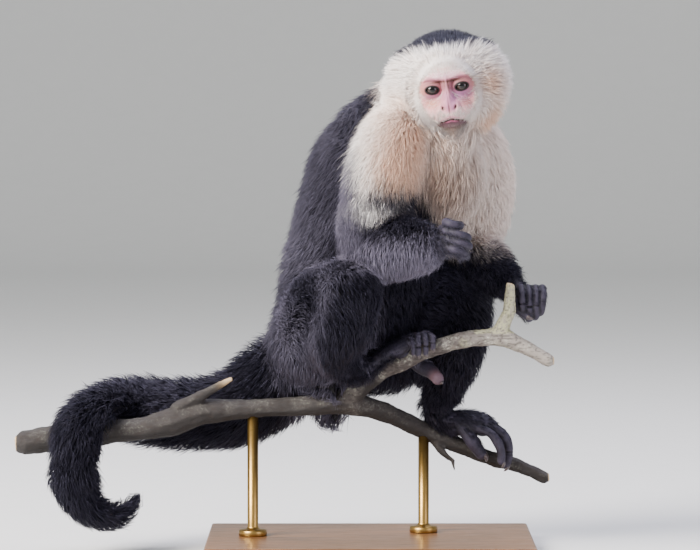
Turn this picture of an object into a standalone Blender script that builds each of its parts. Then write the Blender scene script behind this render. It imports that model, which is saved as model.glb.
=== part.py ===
"""A white-faced capuchin monkey sitting on a branch, life size, as a museum shows it.

Every size below is in millimetres; the meshes are made in metres. +X runs along the
branch from the tail towards the hands, +Z is up, and the monkey's face looks along -Y.
The origin is the middle of the stand's underside. The solids reach out to the tips of
the coat. Each limb, the tail, the body and the branch is modelled whole, rounded by a
remesh, cut where it presses on its neighbour, and then parted by thin cuts.
"""

import math

import bmesh
import bpy
from mathutils import Matrix, Vector

MM = 0.001
GAP = 0.3  # clearance between two solids that touch
CUT = 0.3  # width of the thin cuts that part a limb
FLAT = math.radians(4)  # a form's faces that meet at less than this become one
COPLANAR = math.radians(0.3)  # the same for the slivers that the cuts leave

# ---------------------------------------------------------------- driving sizes

# The trunk is turned about 50 degrees from the branch, so the animal's own right
# lies between the X and Y axes.
TRUNK_TURN = math.radians(50)
RIGHT = Vector((-math.sin(TRUNK_TURN), -math.cos(TRUNK_TURN), 0))

# The head's middle, and how far it turns to its own right, tips sideways and nods.
HEAD_AT = (71, -27, 428)
HEAD_TURN = math.radians(3.3)
HEAD_ROLL = math.radians(8)
HEAD_NOD = math.radians(4.3)

EYE_RADIUS = 7.4
EYE_AT = (13.4, -40, 1.5)  # the animal's left eye, from the head's middle

# Stations along a form: x, y, z, half-width across, half-width the other way.
TRUNK = [
    (-34, 18, 160, 46, 40),
    (-34, 15, 182, 64, 62),
    (-24, 12, 215, 66, 66),
    (-15, 10, 250, 69, 71),
    (-5, 8, 285, 71, 74),
    (8, 8, 320, 75, 77),
    (18, 8, 352, 77, 76),
    (26, 6, 380, 66, 62),
    (36, 0, 400, 50, 46),
    (46, -8, 412, 40, 40),
]
BIB_AT, BIB_SIZE = (66, -24, 345), (44, 40, 52)
THROAT_AT, THROAT_SIZE = (76, -42, 386), (28, 24, 24)
SEAT_AT, SEAT_SIZE = (14, 20, 178), (44, 30, 38)

RIGHT_ARM = [
    (20, -44, 378, 34, 34),
    (12, -56, 350, 37, 36),
    (4, -62, 318, 34, 34),
    (-2, -62, 292, 30, 30),
    (6, -66, 282, 29, 29),
    (30, -80, 283, 29, 28),
    (52, -92, 285, 23, 22),
    (66, -97, 286, 15, 17),
]
LEFT_ARM = [
    (94, 18, 372, 34, 34),
    (102, 28, 345, 34, 34),
    (102, 34, 315, 32, 32),
    (90, 36, 288, 27, 27),
    (92, 32, 276, 26, 26),
    (108, 14, 262, 26, 26),
    (124, -2, 250, 19, 19),
    (136, -11, 240, 12, 12),
]
RIGHT_LEG = [
    (-46, -14, 206, 42, 42),
    (-38, -44, 224, 42, 42),
    (-22, -70, 240, 34, 34),
    (-18, -80, 240, 30, 30),
    (-25, -70, 213, 29, 29),
    (-31, -55, 190, 24, 24),
    (-25, -44, 171, 16, 16),
]
LEFT_LEG = [
    (-10, 34, 205, 46, 46),
    (30, 30, 222, 44, 44),
    (70, 20, 232, 34, 34),
    (88, 16, 228, 27, 27),
    (86, 18, 205, 28, 28),
    (76, 24, 175, 29, 29),
    (68, 30, 148, 23, 23),
    (64, 32, 128, 19, 18),
]
TAIL = [
    (-52, 30, 182, 40, 34),
    (-90, 36, 153, 46, 32),
    (-120, 38, 131, 42, 29),
    (-160, 38, 124, 39, 28),
    (-205, 37, 126, 38, 27),
    (-228, 28, 130, 34, 26),
    (-248, 6, 131, 29, 27),
    (-263, -16, 120, 28, 28),
    (-270, -27, 100, 30, 26),
    (-271, -30, 76, 27, 25),
    (-267, -29, 56, 24, 23),
    (-256, -27, 41, 20, 20),
    (-240, -25, 34, 18, 17),
    (-225, -24, 39, 16, 15),
    (-217, -23, 50, 12, 12),
]

BRANCH = [
    (-317, 0, 100, 11.5),
    (-270, 0, 107, 12),
    (-212, 0, 113, 10.5),
    (-184, 0, 119, 13),
    (-156, 0, 128, 12),
    (-120, 0, 131, 9),
    (-83, 0, 133, 8.5),
    (-46, 0, 135, 10),
    (-18, 0, 140, 12.5),
]
UPPER_FORK = [
    (-22, -2, 142, 11),
    (9, -16, 167, 9),
    (28, -23, 176, 8.5),
    (46, -28, 185, 8),
    (64, -31, 191, 7.5),
    (83, -31, 197, 7.5),
    (101, -30, 199, 7.5),
    (122, -30, 199, 8),
    (138, -31, 192, 6.5),
    (163, -31, 178, 6),
]
LOWER_FORK = [
    (-22, 1, 137, 11),
    (9, 12, 129, 9),
    (28, 22, 120, 8.5),
    (55, 31, 107, 8),
    (83, 37, 94, 7.5),
    (110, 40, 83, 7),
    (138, 42, 75, 6.5),
    (163, 43, 64, 6),
]
SNAPPED_TWIG = [(-178, -4, 132, 6), (-152, -10, 146, 4.5), (-128, -16, 160, 3)]
UPRIGHT_STUB = [(117, -31, 202, 7), (126, -33, 222, 6), (128, -34, 245, 5)]
HANGING_TWIG = [
    (58, 31, 102, 4.5),
    (66, 27, 90, 3),
    (76, 25, 82, 2.6),
    (79, 25, 72, 2.4),
]

BASE_LENGTH, BASE_DEPTH, BASE_THICK, BASE_EDGE = 300, 216, 14, 2.5
ROD_RADIUS = 5
COLLAR_RADIUS, COLLAR_HEIGHT = 13, 6
ROD_PLACES = {"stand_rod_left": (-108, 0, 131), "stand_rod_right": (50, 29, 109)}

COAT_BLACK = (0.012, 0.011, 0.014)
COAT_CREAM = (0.78, 0.68, 0.56)
BARE_SKIN = (0.55, 0.33, 0.28)
DARK_SKIN = (0.06, 0.05, 0.06)
EYE_BROWN = (0.02, 0.012, 0.01)
BARK = (0.13, 0.11, 0.09)
STAINED_OAK = (0.2, 0.12, 0.07)
BRASS = (0.45, 0.33, 0.16)


# ---------------------------------------------------------------- making shapes


def start_empty():
    """Leave nothing from the file that the script is run in."""
    for old in list(bpy.data.objects):
        bpy.data.objects.remove(old, do_unlink=True)


def along(stations, steps=5):
    """Read a smooth curve through the stations, radii included, in equal steps."""
    ends = [stations[0], *stations, stations[-1]]
    points = []
    for a, b, c, d in zip(ends, ends[1:], ends[2:], ends[3:]):
        for step in range(steps):
            t = step / steps
            points.append([
                0.5 * (2 * q + (r - p) * t + (2 * p - 5 * q + 4 * r - s) * t ** 2
                       + (3 * q - p - 3 * r + s) * t ** 3)
                for p, q, r, s in zip(a, b, c, d)
            ])
    points.append(list(stations[-1]))
    return points


def add_tube(shape, stations, side=RIGHT, sides=20, steps=5):
    """Loft oval rings through stations; a station's first radius lies along side."""
    rings = []
    points = along(stations, steps)
    for index, point in enumerate(points):
        before = Vector(points[max(index - 1, 0)][:3])
        after = Vector(points[min(index + 1, len(points) - 1)][:3])
        axis = (after - before).normalized()
        across = (side - axis * side.dot(axis)).normalized()
        deep = axis.cross(across)
        wide, thick = point[3], point[-1]
        ring = []
        for corner in range(sides):
            turn = 2 * math.pi * corner / sides
            offset = across * wide * math.cos(turn) + deep * thick * math.sin(turn)
            ring.append(shape.verts.new((Vector(point[:3]) + offset) * MM))
        rings.append(ring)
    for ring, following in zip(rings, rings[1:]):
        for corner in range(sides):
            beside = (corner + 1) % sides
            shape.faces.new((ring[corner], ring[beside], following[beside], following[corner]))
    shape.faces.new(list(reversed(rings[0])))
    shape.faces.new(rings[-1])
    for stations_end in (stations[0], stations[-1]):
        radius = 0.98 * min(stations_end[3], stations_end[-1])
        add_lump(shape, stations_end[:3], (radius, radius, radius))


def add_lump(shape, place, size, frame=Matrix.Identity(4), sides=24):
    """Add an ellipsoid of the given half-sizes."""
    matrix = (Matrix.Scale(MM, 4) @ frame @ Matrix.Translation(place)
              @ Matrix.Diagonal((*size, 1)))
    bmesh.ops.create_uvsphere(shape, u_segments=sides, v_segments=sides // 2 + 1, radius=1,
                              matrix=matrix)


def made(name, shape):
    """Turn a bmesh into an object."""
    mesh = bpy.data.meshes.new(name)
    shape.to_mesh(mesh)
    shape.free()
    piece = bpy.data.objects.new(name, mesh)
    bpy.context.collection.objects.link(piece)
    return piece


def settle(piece):
    """Replace an object's modifiers by the mesh that they give."""
    graph = bpy.context.evaluated_depsgraph_get()
    mesh = bpy.data.meshes.new_from_object(piece.evaluated_get(graph))
    piece.modifiers.clear()
    piece.data = mesh
    return piece


def merge_flat_faces(piece, angle):
    """Merge faces that meet at less than the angle, and cut the result into triangles."""
    merge = piece.modifiers.new("Merge", "DECIMATE")
    merge.decimate_type = "DISSOLVE"
    merge.angle_limit = angle
    piece.modifiers.new("Cut up", "TRIANGULATE")
    return settle(piece)


def rounded(name, shape, voxel, triangles, smoothing=6):
    """Join overlapping forms into one smooth solid of about so many triangles."""
    piece = made(name, shape)
    remesh = piece.modifiers.new("Remesh", "REMESH")
    remesh.mode = "VOXEL"
    remesh.voxel_size = voxel * MM
    smooth = piece.modifiers.new("Smooth", "SMOOTH")
    smooth.iterations = smoothing
    settle(piece)
    thin = piece.modifiers.new("Thin", "DECIMATE")
    thin.ratio = triangles / (2 * len(piece.data.polygons))
    return merge_flat_faces(piece, FLAT)


def remove(piece):
    bpy.data.objects.remove(piece, do_unlink=True)


def carve(piece, cutter):
    """Take the cutter's shape out of a piece, and keep the largest body that is left."""
    cut = piece.modifiers.new("Carve", "BOOLEAN")
    cut.operation = "DIFFERENCE"
    cut.object = cutter
    settle(piece)
    bodies = split(piece)
    for small in bodies[1:]:
        remove(small)
    return bodies[0]


def room_for(piece, gap=GAP):
    """Copy a solid, swollen by the gap, as the room that its neighbours leave it."""
    room = bpy.data.objects.new("room", piece.data.copy())
    bpy.context.collection.objects.link(room)
    swell = room.modifiers.new("Swell", "DISPLACE")
    swell.mid_level = 0
    swell.strength = gap * MM
    return settle(room)


def split(piece):
    """Split an object into its separate bodies, largest first."""
    shape = bmesh.new()
    shape.from_mesh(piece.data)
    unseen = set(shape.faces)
    groups = []
    while unseen:
        group, edge_of = [], [unseen.pop()]
        while edge_of:
            face = edge_of.pop()
            group.append(face)
            for edge in face.edges:
                for near in edge.link_faces:
                    if near in unseen:
                        unseen.discard(near)
                        edge_of.append(near)
        groups.append(group)
    bodies = []
    for group in groups:
        body = bmesh.new()
        copies = {}
        for face in sorted(group, key=lambda one: one.index):
            for vert in face.verts:
                if vert not in copies:
                    copies[vert] = body.verts.new(vert.co)
            body.faces.new([copies[vert] for vert in face.verts])
        volume = abs(body.calc_volume())
        bodies.append((volume, made(piece.name, body)))
    shape.free()
    remove(piece)
    bodies.sort(key=lambda pair: -pair[0])
    return [body for _, body in bodies]


def slab(place, facing, reach):
    """Make a thin square blade at a place, facing along the limb that it parts."""
    shape = bmesh.new()
    turn = Vector(facing).to_track_quat("Z", "Y").to_matrix().to_4x4()
    matrix = (Matrix.Scale(MM, 4) @ Matrix.Translation(place) @ turn
              @ Matrix.Diagonal((2 * reach, 2 * reach, CUT, 1)))
    bmesh.ops.create_cube(shape, size=1, matrix=matrix)
    return made("blade", shape)


def middle(piece):
    """Give the middle of an object's box, in millimetres."""
    corners = [Vector(corner) for corner in piece.bound_box]
    return (corners[0] + corners[6]) / 2 / MM


def part(piece, cuts, places):
    """Part a solid by blades; each length takes the name whose place is nearest."""
    for place, facing, reach in cuts:
        blade = slab(place, facing, reach)
        cut = piece.modifiers.new("Part", "BOOLEAN")
        cut.operation = "DIFFERENCE"
        cut.object = blade
        settle(piece)
        remove(blade)
    whole = piece.name
    lengths = split(piece)
    if len(lengths) != len(places):
        sizes = [tuple(round(x) for x in middle(one)) for one in lengths]
        raise ValueError(f"{whole} parts into {len(lengths)} lengths, at {sizes}")
    for name, place in places.items():
        nearest = min(lengths, key=lambda one: (middle(one) - Vector(place)).length)
        lengths.remove(nearest)
        nearest.name = nearest.data.name = name


def paint(prefix, colour, roughness):
    """Give every node whose name starts with the prefix its plain colour."""
    material = bpy.data.materials.new(prefix)
    material.use_nodes = True
    surface = material.node_tree.nodes["Principled BSDF"]
    surface.inputs["Base Color"].default_value = (*colour, 1)
    surface.inputs["Roughness"].default_value = roughness
    material.diffuse_color = (*colour, 1)
    for piece in bpy.data.objects:
        if piece.name.startswith(prefix):
            piece.data.materials.clear()
            piece.data.materials.append(material)


# ---------------------------------------------------------------- head and body

HEAD_FRAME = (Matrix.Translation(HEAD_AT) @ Matrix.Rotation(-HEAD_TURN, 4, "Z")
              @ Matrix.Rotation(-HEAD_ROLL, 4, "Y") @ Matrix.Rotation(HEAD_NOD, 4, "X"))

# Lumps of the head: place and half-size from its middle, x to the animal's left,
# y to the back and z up. Those with x above zero are repeated on the other side.
HEAD_LUMPS = [
    ((0, 6, 7), (48, 46, 44)),  # skull, with the cap's short coat
    ((28, -8, 0), (33, 27, 42)),  # the ruff beside the face
    ((24, -10, -18), (30, 25, 26)),  # the ruff's lower corner
    ((0, -28, 2), (32, 18, 35)),  # the flat of the face
    ((0, -40, -18.5), (21, 17, 14)),  # muzzle
    ((0, -38, -31), (13, 12, 9)),  # chin
    ((9, -41, -7), (9, 10, 10)),  # beside the nose
    ((19, -36, -12), (11, 9, 13)),  # cheek
]
BROW = [(0, -45, 12, 5), (12, -45, 12, 5), (25, -38, 9, 5)]
NOSE = [(0, -43, 9, 5), (0, -47, -1, 6.5), (0, -51, -10.5, 8)]
SOCKET_AT, SOCKET_RADIUS = (13.8, -52, 1.5), 9.5
EAR_AT, EAR_SIZE, EAR_BOWL = (51, 15, 1), (4.5, 12, 17), (4, 8.5, 12.5)
EAR_FLARE = math.radians(28)


def mirrored(places):
    """Give places on both sides of the head, once where they lie on its middle."""
    for place in places:
        yield place
    for place in places:
        if place[0]:
            yield (-place[0], *place[1:])


def make_head():
    """The head out to the tips of its ruff."""
    shape = bmesh.new()
    for place, size in HEAD_LUMPS:
        for side_place in mirrored([place]):
            add_lump(shape, side_place, size, HEAD_FRAME)
    for ridge in (BROW, [(-x, *rest) for x, *rest in BROW], NOSE):
        add_tube(shape, in_head(ridge), Vector((0, 0, 1)), sides=12)
    return rounded("head", shape, 1.2, 680, smoothing=9)


def in_head(stations):
    """Move stations from the head's own directions into the model's."""
    return [(*(HEAD_FRAME @ Vector(place)), *radii)
            for place, radii in ((one[:3], one[3:]) for one in stations)]


def ball(name, place, radius, frame, sides=10):
    shape = bmesh.new()
    add_lump(shape, place, (radius, radius, radius), frame, sides)
    return made(name, shape)


def make_pair(name, place, radius):
    """Two balls in the head; the animal's left one is at +x of it."""
    x, y, z = place
    return (ball(name + "_left", (x, y, z), radius, HEAD_FRAME),
            ball(name + "_right", (-x, y, z), radius, HEAD_FRAME))


def make_ear(name, side):
    """A thin shell, hollowed on its outer face and flared away from the head."""
    x, y, z = EAR_AT
    frame = (HEAD_FRAME @ Matrix.Translation((side * x, y, z))
             @ Matrix.Rotation(-side * EAR_FLARE, 4, "Z"))
    shell, bowl = bmesh.new(), bmesh.new()
    add_lump(shell, (0, 0, 0), EAR_SIZE, frame)
    add_lump(bowl, (side * 4.5, -1, 0), EAR_BOWL, frame, sides=10)
    cutter = made("bowl", bowl)
    ear = carve(rounded(name, shell, 1.2, 150, smoothing=0), cutter)
    remove(cutter)
    ear.name = ear.data.name = name
    return ear


def set_eyes_and_ears(forms):
    """Set the eyes and ears in the head, each in a hollow that also clears the neck."""
    hollows = make_pair("socket", SOCKET_AT, SOCKET_RADIUS)
    set_in = (*make_pair("eye", EYE_AT, EYE_RADIUS), make_ear("ear_left", 1),
              make_ear("ear_right", -1))
    for hollow in (*hollows, *(room_for(piece) for piece in set_in)):
        for name in ("head", "body"):
            forms[name] = carve(forms[name], hollow)
        remove(hollow)
    forms["head"].name = forms["head"].data.name = "head"


def make_body():
    """The trunk with its neck and tail in one smooth solid."""
    shape = bmesh.new()
    add_tube(shape, TRUNK, sides=32)
    add_lump(shape, BIB_AT, BIB_SIZE)
    add_lump(shape, THROAT_AT, THROAT_SIZE)
    add_lump(shape, SEAT_AT, SEAT_SIZE)
    add_tube(shape, TAIL, Vector((0, 0, 1)), sides=24, steps=6)
    return rounded("body", shape, 1.8, 760)


# ---------------------------------------------------------------- limbs


def finger(shape, places, thick, thin):
    """A finger or toe through the given places, tapering to its tip."""
    last = len(places) - 1
    stations = [(*place, thick + (thin - thick) * index / last)
                for index, place in enumerate(places)]
    add_tube(shape, stations, Vector((0.3, 0.2, 1)), sides=10, steps=3)


# The near fist's fingers: the height at the knuckle, the furthest x, and the fall to there.
FIST = [(302, 79, 3), (294, 86, 6), (285.5, 87, 6), (277.5, 83, 4.5)]


def make_right_arm():
    """The near arm: its fist closes in front of the chest, fingers one above another."""
    shape = bmesh.new()
    add_tube(shape, RIGHT_ARM)
    add_lump(shape, (72, -98, 286), (12, 10, 19))
    for height, reach, drop in FIST:
        end = height - drop
        finger(shape, [(68, -102, height), (reach - 7, -107, height - drop / 2),
                       (reach, -101, end), (reach, -91, end - 1), (reach - 7, -86, end - 2)],
               5, 4.2)
    finger(shape, [(66, -92, 298), (73, -84, 304), (81, -82, 303)], 5.4, 4.2)
    return rounded("right_arm", shape, 1.3, 540, smoothing=6)


def make_left_arm():
    """The far arm: its hand hangs half closed beyond the knee."""
    shape = bmesh.new()
    add_tube(shape, LEFT_ARM)
    add_lump(shape, (141, -13, 236), (11, 13, 10))
    for spread in (-25, -16, -7, 2):
        finger(shape, [(142, spread, 238), (152, spread - 1, 240), (160, spread - 1, 233),
                       (159, spread, 224), (152, spread + 1, 219)], 5, 4)
    finger(shape, [(137, -20, 230), (140, -24, 222), (146, -23, 217)], 5, 4)
    return rounded("left_arm", shape, 1.3, 440, smoothing=6)


def make_right_leg():
    """The near leg, folded; its toes come down over the upper fork."""
    shape = bmesh.new()
    add_tube(shape, RIGHT_LEG)
    add_tube(shape, [(-18, -42, 168, 14, 12), (-3, -39, 171, 12, 10), (10, -38, 180, 9, 9),
                     (24, -40, 190, 10, 8), (40, -38, 200, 12, 8)], Vector((0, -1, 0.3)))
    for reach in (38, 44, 50, 57):
        finger(shape, [(reach - 2, -36, 201), (reach, -43, 203), (reach + 1, -47, 196),
                       (reach + 1, -44, 188)], 5, 4)
    finger(shape, [(30, -26, 192), (38, -13, 182), (46, -13, 172), (55, -20, 165),
                   (62, -27, 161)], 7, 5.6)
    return rounded("right_leg", shape, 1.3, 480, smoothing=6)


def make_left_leg():
    """The far leg: its toes and big toe hold the lower fork."""
    shape = bmesh.new()
    add_tube(shape, LEFT_LEG)
    add_lump(shape, (50, 28, 190), (18, 18, 16))  # the coat behind the bent knee
    add_tube(shape, [(58, 32, 120, 12, 10), (70, 32, 119, 14, 13), (84, 34, 116, 14, 11),
                     (98, 35, 116, 15, 9), (110, 35, 114, 16, 8)], Vector((0, 1, 0)))
    for spread in (21, 30, 39, 48):
        curl = 3 if spread < 35 else -3
        finger(shape, [(106, spread, 113), (119, spread, 110), (128, spread, 100),
                       (131, spread, 88), (128, spread + curl, 78)], 5.4, 4.2)
    finger(shape, [(80, 26, 110), (90, 24, 101), (99, 26, 92), (105, 29, 86)], 7, 5.4)
    return rounded("left_leg", shape, 1.3, 480, smoothing=6)


# ---------------------------------------------------------------- branch and stand


def make_branch():
    """A short cut length of forked branch, with its broken twigs."""
    shape = bmesh.new()
    for limb in (BRANCH, UPPER_FORK, LOWER_FORK, SNAPPED_TWIG, UPRIGHT_STUB, HANGING_TWIG):
        add_tube(shape, limb, Vector((0, 0, 1)), sides=14)
    return rounded("branch", shape, 1.2, 480, smoothing=2)


def turned(name, profile, place, sides=12):
    """Turn a profile of radius and height about an upright axis."""
    shape = bmesh.new()
    rings = []
    for radius, height in profile:
        ring = []
        for corner in range(sides):
            turn = 2 * math.pi * corner / sides
            offset = Vector((radius * math.cos(turn), radius * math.sin(turn), height))
            ring.append(shape.verts.new((Vector(place) + offset) * MM))
        rings.append(ring)
    for ring, following in zip(rings, rings[1:]):
        for corner in range(sides):
            beside = (corner + 1) % sides
            shape.faces.new((ring[corner], ring[beside], following[beside], following[corner]))
    shape.faces.new(list(reversed(rings[0])))
    shape.faces.new(rings[-1])
    return made(name, shape)


def make_stand(branch_room):
    """A flat base, and two rods that carry the branch in their hollowed tops."""
    shape = bmesh.new()
    matrix = Matrix.Scale(MM, 4) @ Matrix.Translation((0, 0, BASE_THICK / 2)) @ (
        Matrix.Diagonal((BASE_LENGTH, BASE_DEPTH, BASE_THICK, 1)))
    bmesh.ops.create_cube(shape, size=1, matrix=matrix)
    top = max(vert.co.z for vert in shape.verts)
    edges = [edge for edge in shape.edges
             if all(abs(vert.co.z - top) < 1e-6 for vert in edge.verts)]
    bmesh.ops.bevel(shape, geom=edges, offset=BASE_EDGE * MM, segments=3, profile=0.5,
                    affect="EDGES")
    made("stand_base", shape)
    foot = BASE_THICK + GAP
    for name, (x, y, top) in ROD_PLACES.items():
        profile = [(COLLAR_RADIUS, 0), (COLLAR_RADIUS, COLLAR_HEIGHT - 1),
                   (COLLAR_RADIUS - 1, COLLAR_HEIGHT), (ROD_RADIUS, COLLAR_HEIGHT),
                   (ROD_RADIUS, top - foot)]
        rod = carve(turned(name, profile, (x, y, foot)), branch_room)
        rod.name = rod.data.name = name


# ---------------------------------------------------------------- the whole model


# What each form gives way to. The first cut is with the neighbour swollen by the gap;
# the second, with the neighbour itself, clears what the swelling misses in a crease.
GIVES_WAY_TO = {
    "right_leg": ("branch", "right_arm"),
    "left_leg": ("branch", "left_arm", "right_leg"),
    "head": ("right_arm", "left_arm"),
    "body": ("branch", "right_arm", "left_arm", "right_leg", "left_leg", "head"),
}

# Where each form is parted: a place, the way the blade faces, and its half-width.
CUTS = {
    "body": [((42, -10, 382), (0.25, -0.25, 0.9), 110),
             ((0, 8, 285), (0.1, 0, 1), 110),
             ((-90, 36, 156), (-1, 0, -0.7), 55),
             ((-155, 38, 125), (-1, 0, 0), 50),
             ((-215, 33, 128), (-1, -0.3, 0), 46),
             ((-271, -30, 74), (0, 0, -1), 34)],
    "right_arm": [((0, -64, 290), (0.7, -0.4, -1), 62),
                  ((63, -96, 286), (1, -0.35, 0), 26)],
    "left_arm": [((92, 34, 284), (0.5, -0.4, -1), 56),
                 ((133, -9, 242), (0.8, -0.4, -0.5), 20)],
    "right_leg": [((-20, -58, 212), (0.61, -0.65, -0.45), 90),
                  ((9, -38, 178), (1, 0, 0.2), 17)],
    "left_leg": [((74, 20, 214), (0.74, -0.05, -0.72), 62),
                 ((66, 32, 130), (0, 0.1, -1), 24)],
    "branch": [((-4, -9, 154), (0.8, -0.4, 0.6), 16),
               ((-4, 6, 134), (0.9, 0.4, -0.2), 16),
               ((-150, -11, 147.5), (0.85, -0.2, 0.5), 9),
               ((120, -31, 210), (0.3, 0, 1), 12),
               ((67.5, 26.6, 88.5), (0.65, -0.2, -0.75), 6)],
}

# The lengths that the cuts leave, each by a place near its middle.
LENGTHS = {
    "body": {"neck": (50, -15, 390), "chest": (25, 0, 335), "abdomen": (-20, 12, 225),
             "tail_base": (-125, 38, 132), "tail_middle": (-185, 38, 126),
             "tail_bend": (-255, 0, 115), "tail_tip": (-245, -27, 45)},
    "right_arm": {"upper_arm_right": (8, -55, 335), "forearm_right": (30, -80, 284),
                  "hand_right": (84, -95, 288)},
    "left_arm": {"upper_arm_left": (98, 28, 330), "forearm_left": (110, 12, 262),
                 "hand_left": (150, -12, 230)},
    "right_leg": {"thigh_right": (-35, -45, 225), "shank_right": (-22, -65, 205),
                  "foot_right": (35, -36, 185)},
    "left_leg": {"thigh_left": (40, 28, 225), "shank_left": (78, 24, 175),
                 "foot_left": (100, 34, 102)},
    "branch": {"perch_main": (-150, 0, 125), "perch_upper_fork": (80, -30, 192),
               "perch_lower_fork": (90, 35, 95), "perch_snapped_twig": (-145, -12, 150),
               "perch_upright_stub": (126, -33, 228), "perch_hanging_twig": (76, 26, 82)},
}

# Plain colours and roughness, by the start of a node's name.
FINISHES = {
    "tail": (COAT_BLACK, 0.8),
    "abdomen": (COAT_BLACK, 0.8),
    "thigh": (COAT_BLACK, 0.8),
    "shank": (COAT_BLACK, 0.8),
    "forearm": (COAT_BLACK, 0.8),
    "chest": (COAT_CREAM, 0.8),
    "neck": (COAT_CREAM, 0.8),
    "upper_arm": (COAT_CREAM, 0.8),
    "head": (COAT_CREAM, 0.8),
    "ear": (BARE_SKIN, 0.6),
    "eye": (EYE_BROWN, 0.1),
    "hand": (DARK_SKIN, 0.7),
    "foot": (DARK_SKIN, 0.7),
    "perch": (BARK, 0.9),
    "stand_base": (STAINED_OAK, 0.45),
    "stand_rod": (BRASS, 0.35),
}


def build():
    start_empty()
    forms = {"branch": make_branch(), "head": make_head(), "body": make_body(),
             "right_arm": make_right_arm(), "left_arm": make_left_arm(),
             "right_leg": make_right_leg(), "left_leg": make_left_leg()}
    rooms = {name: room_for(form) for name, form in forms.items()}
    make_stand(rooms["branch"])
    for name, neighbours in GIVES_WAY_TO.items():
        for neighbour in neighbours:
            forms[name] = carve(carve(forms[name], rooms[neighbour]), forms[neighbour])
    for room in rooms.values():
        remove(room)
    set_eyes_and_ears(forms)
    for name, cuts in CUTS.items():
        part(forms[name], cuts, LENGTHS[name])
    for piece in list(bpy.data.objects):
        merge_flat_faces(piece, COPLANAR)
    for prefix, (colour, roughness) in FINISHES.items():
        paint(prefix, colour, roughness)


build()
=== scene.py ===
"""The looks of a white-faced capuchin monkey on a cut branch, held by a display stand.

The CAD solids reach out to the tips of the coat. Here one skin lies inside them, with
the face, hands and feet worked finer; the coat is solid mesh tufts grown from that skin
out to where the solids end. Places and sizes below are in millimetres, in the frame of
the CAD: +X along the branch towards the hands, +Z up, and the face looks along -Y.
"""

import math

import bmesh
import bpy
import numpy as np
from mathutils import Matrix, Vector, kdtree, noise
from mathutils.bvhtree import BVHTree


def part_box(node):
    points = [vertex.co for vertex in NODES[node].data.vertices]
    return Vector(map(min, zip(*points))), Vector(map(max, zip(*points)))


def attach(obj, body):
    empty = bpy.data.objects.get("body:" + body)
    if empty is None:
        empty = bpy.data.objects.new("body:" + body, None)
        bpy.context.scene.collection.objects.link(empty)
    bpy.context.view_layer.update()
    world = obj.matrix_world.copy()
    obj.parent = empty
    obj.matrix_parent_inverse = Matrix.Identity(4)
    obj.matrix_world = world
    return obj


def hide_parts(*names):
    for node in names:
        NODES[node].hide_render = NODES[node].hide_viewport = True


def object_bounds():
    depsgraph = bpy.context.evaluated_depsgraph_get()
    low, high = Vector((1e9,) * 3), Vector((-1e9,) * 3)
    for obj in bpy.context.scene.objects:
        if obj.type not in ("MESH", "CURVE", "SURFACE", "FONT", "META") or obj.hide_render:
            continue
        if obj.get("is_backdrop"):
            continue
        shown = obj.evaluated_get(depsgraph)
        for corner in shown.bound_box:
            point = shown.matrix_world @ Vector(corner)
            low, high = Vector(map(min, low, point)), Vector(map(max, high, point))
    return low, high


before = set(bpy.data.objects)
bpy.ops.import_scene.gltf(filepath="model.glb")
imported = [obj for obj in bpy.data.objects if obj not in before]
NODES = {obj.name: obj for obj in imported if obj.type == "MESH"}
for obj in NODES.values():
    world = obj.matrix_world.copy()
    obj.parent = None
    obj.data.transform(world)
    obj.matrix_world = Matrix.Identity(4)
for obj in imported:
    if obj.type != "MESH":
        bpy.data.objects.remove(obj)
CAD_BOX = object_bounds()
MM = 0.001
RANDOM = np.random.default_rng(7)
FEWER = 1  # quick tries grow a quarter of the coat

# ---------------------------------------------------------------- where things are

# The head's own directions: x to the animal's left, y to the back, z up.
HEAD_AT = Vector((71, -27, 428))
HEAD_FRAME = (Matrix.Translation(HEAD_AT) @ Matrix.Rotation(math.radians(-3.3), 4, "Z")
              @ Matrix.Rotation(math.radians(-8), 4, "Y")
              @ Matrix.Rotation(math.radians(4.3), 4, "X"))
EYE_AT = Vector((13.4, -40, 1.5))
EYE_RADIUS = 7.4

# The trunk's own directions, seen from above.
TRUNK_TURN = math.radians(50)
CHEST_WAY = np.array((math.cos(TRUNK_TURN), -math.sin(TRUNK_TURN), 0))
RIGHT_WAY = np.array((-math.sin(TRUNK_TURN), -math.cos(TRUNK_TURN), 0))
SPINE_LOW, SPINE_HIGH = np.array((-24, 12, 215)), np.array((26, 6, 380))

# The lines that the coat's lie follows, from where it starts to where it runs to.
TRUNK_LINE = [(46, -8, 412), (18, 8, 352), (-5, 8, 285), (-24, 12, 215), (-40, 18, 160)]
RIGHT_ARM_LINE = [(20, -44, 388), (4, -62, 318), (-2, -62, 288), (30, -80, 283), (66, -97, 286)]
LEFT_ARM_LINE = [(94, 18, 382), (102, 34, 315), (90, 36, 282), (108, 14, 262), (136, -11, 240)]
RIGHT_LEG_LINE = [(-46, -14, 206), (-38, -44, 224), (-20, -75, 240), (-31, -55, 190), (-25, -44, 165)]
LEFT_LEG_LINE = [(-10, 34, 205), (30, 30, 222), (88, 16, 228), (76, 24, 175), (64, 32, 120)]
TAIL_LINE = [(-52, 30, 182), (-90, 36, 153), (-120, 38, 131), (-160, 38, 124), (-205, 37, 126),
             (-228, 28, 130), (-248, 6, 131), (-263, -16, 120), (-270, -27, 100),
             (-271, -30, 76), (-267, -29, 56), (-256, -27, 41), (-240, -25, 34),
             (-225, -24, 39), (-217, -23, 50)]

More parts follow.
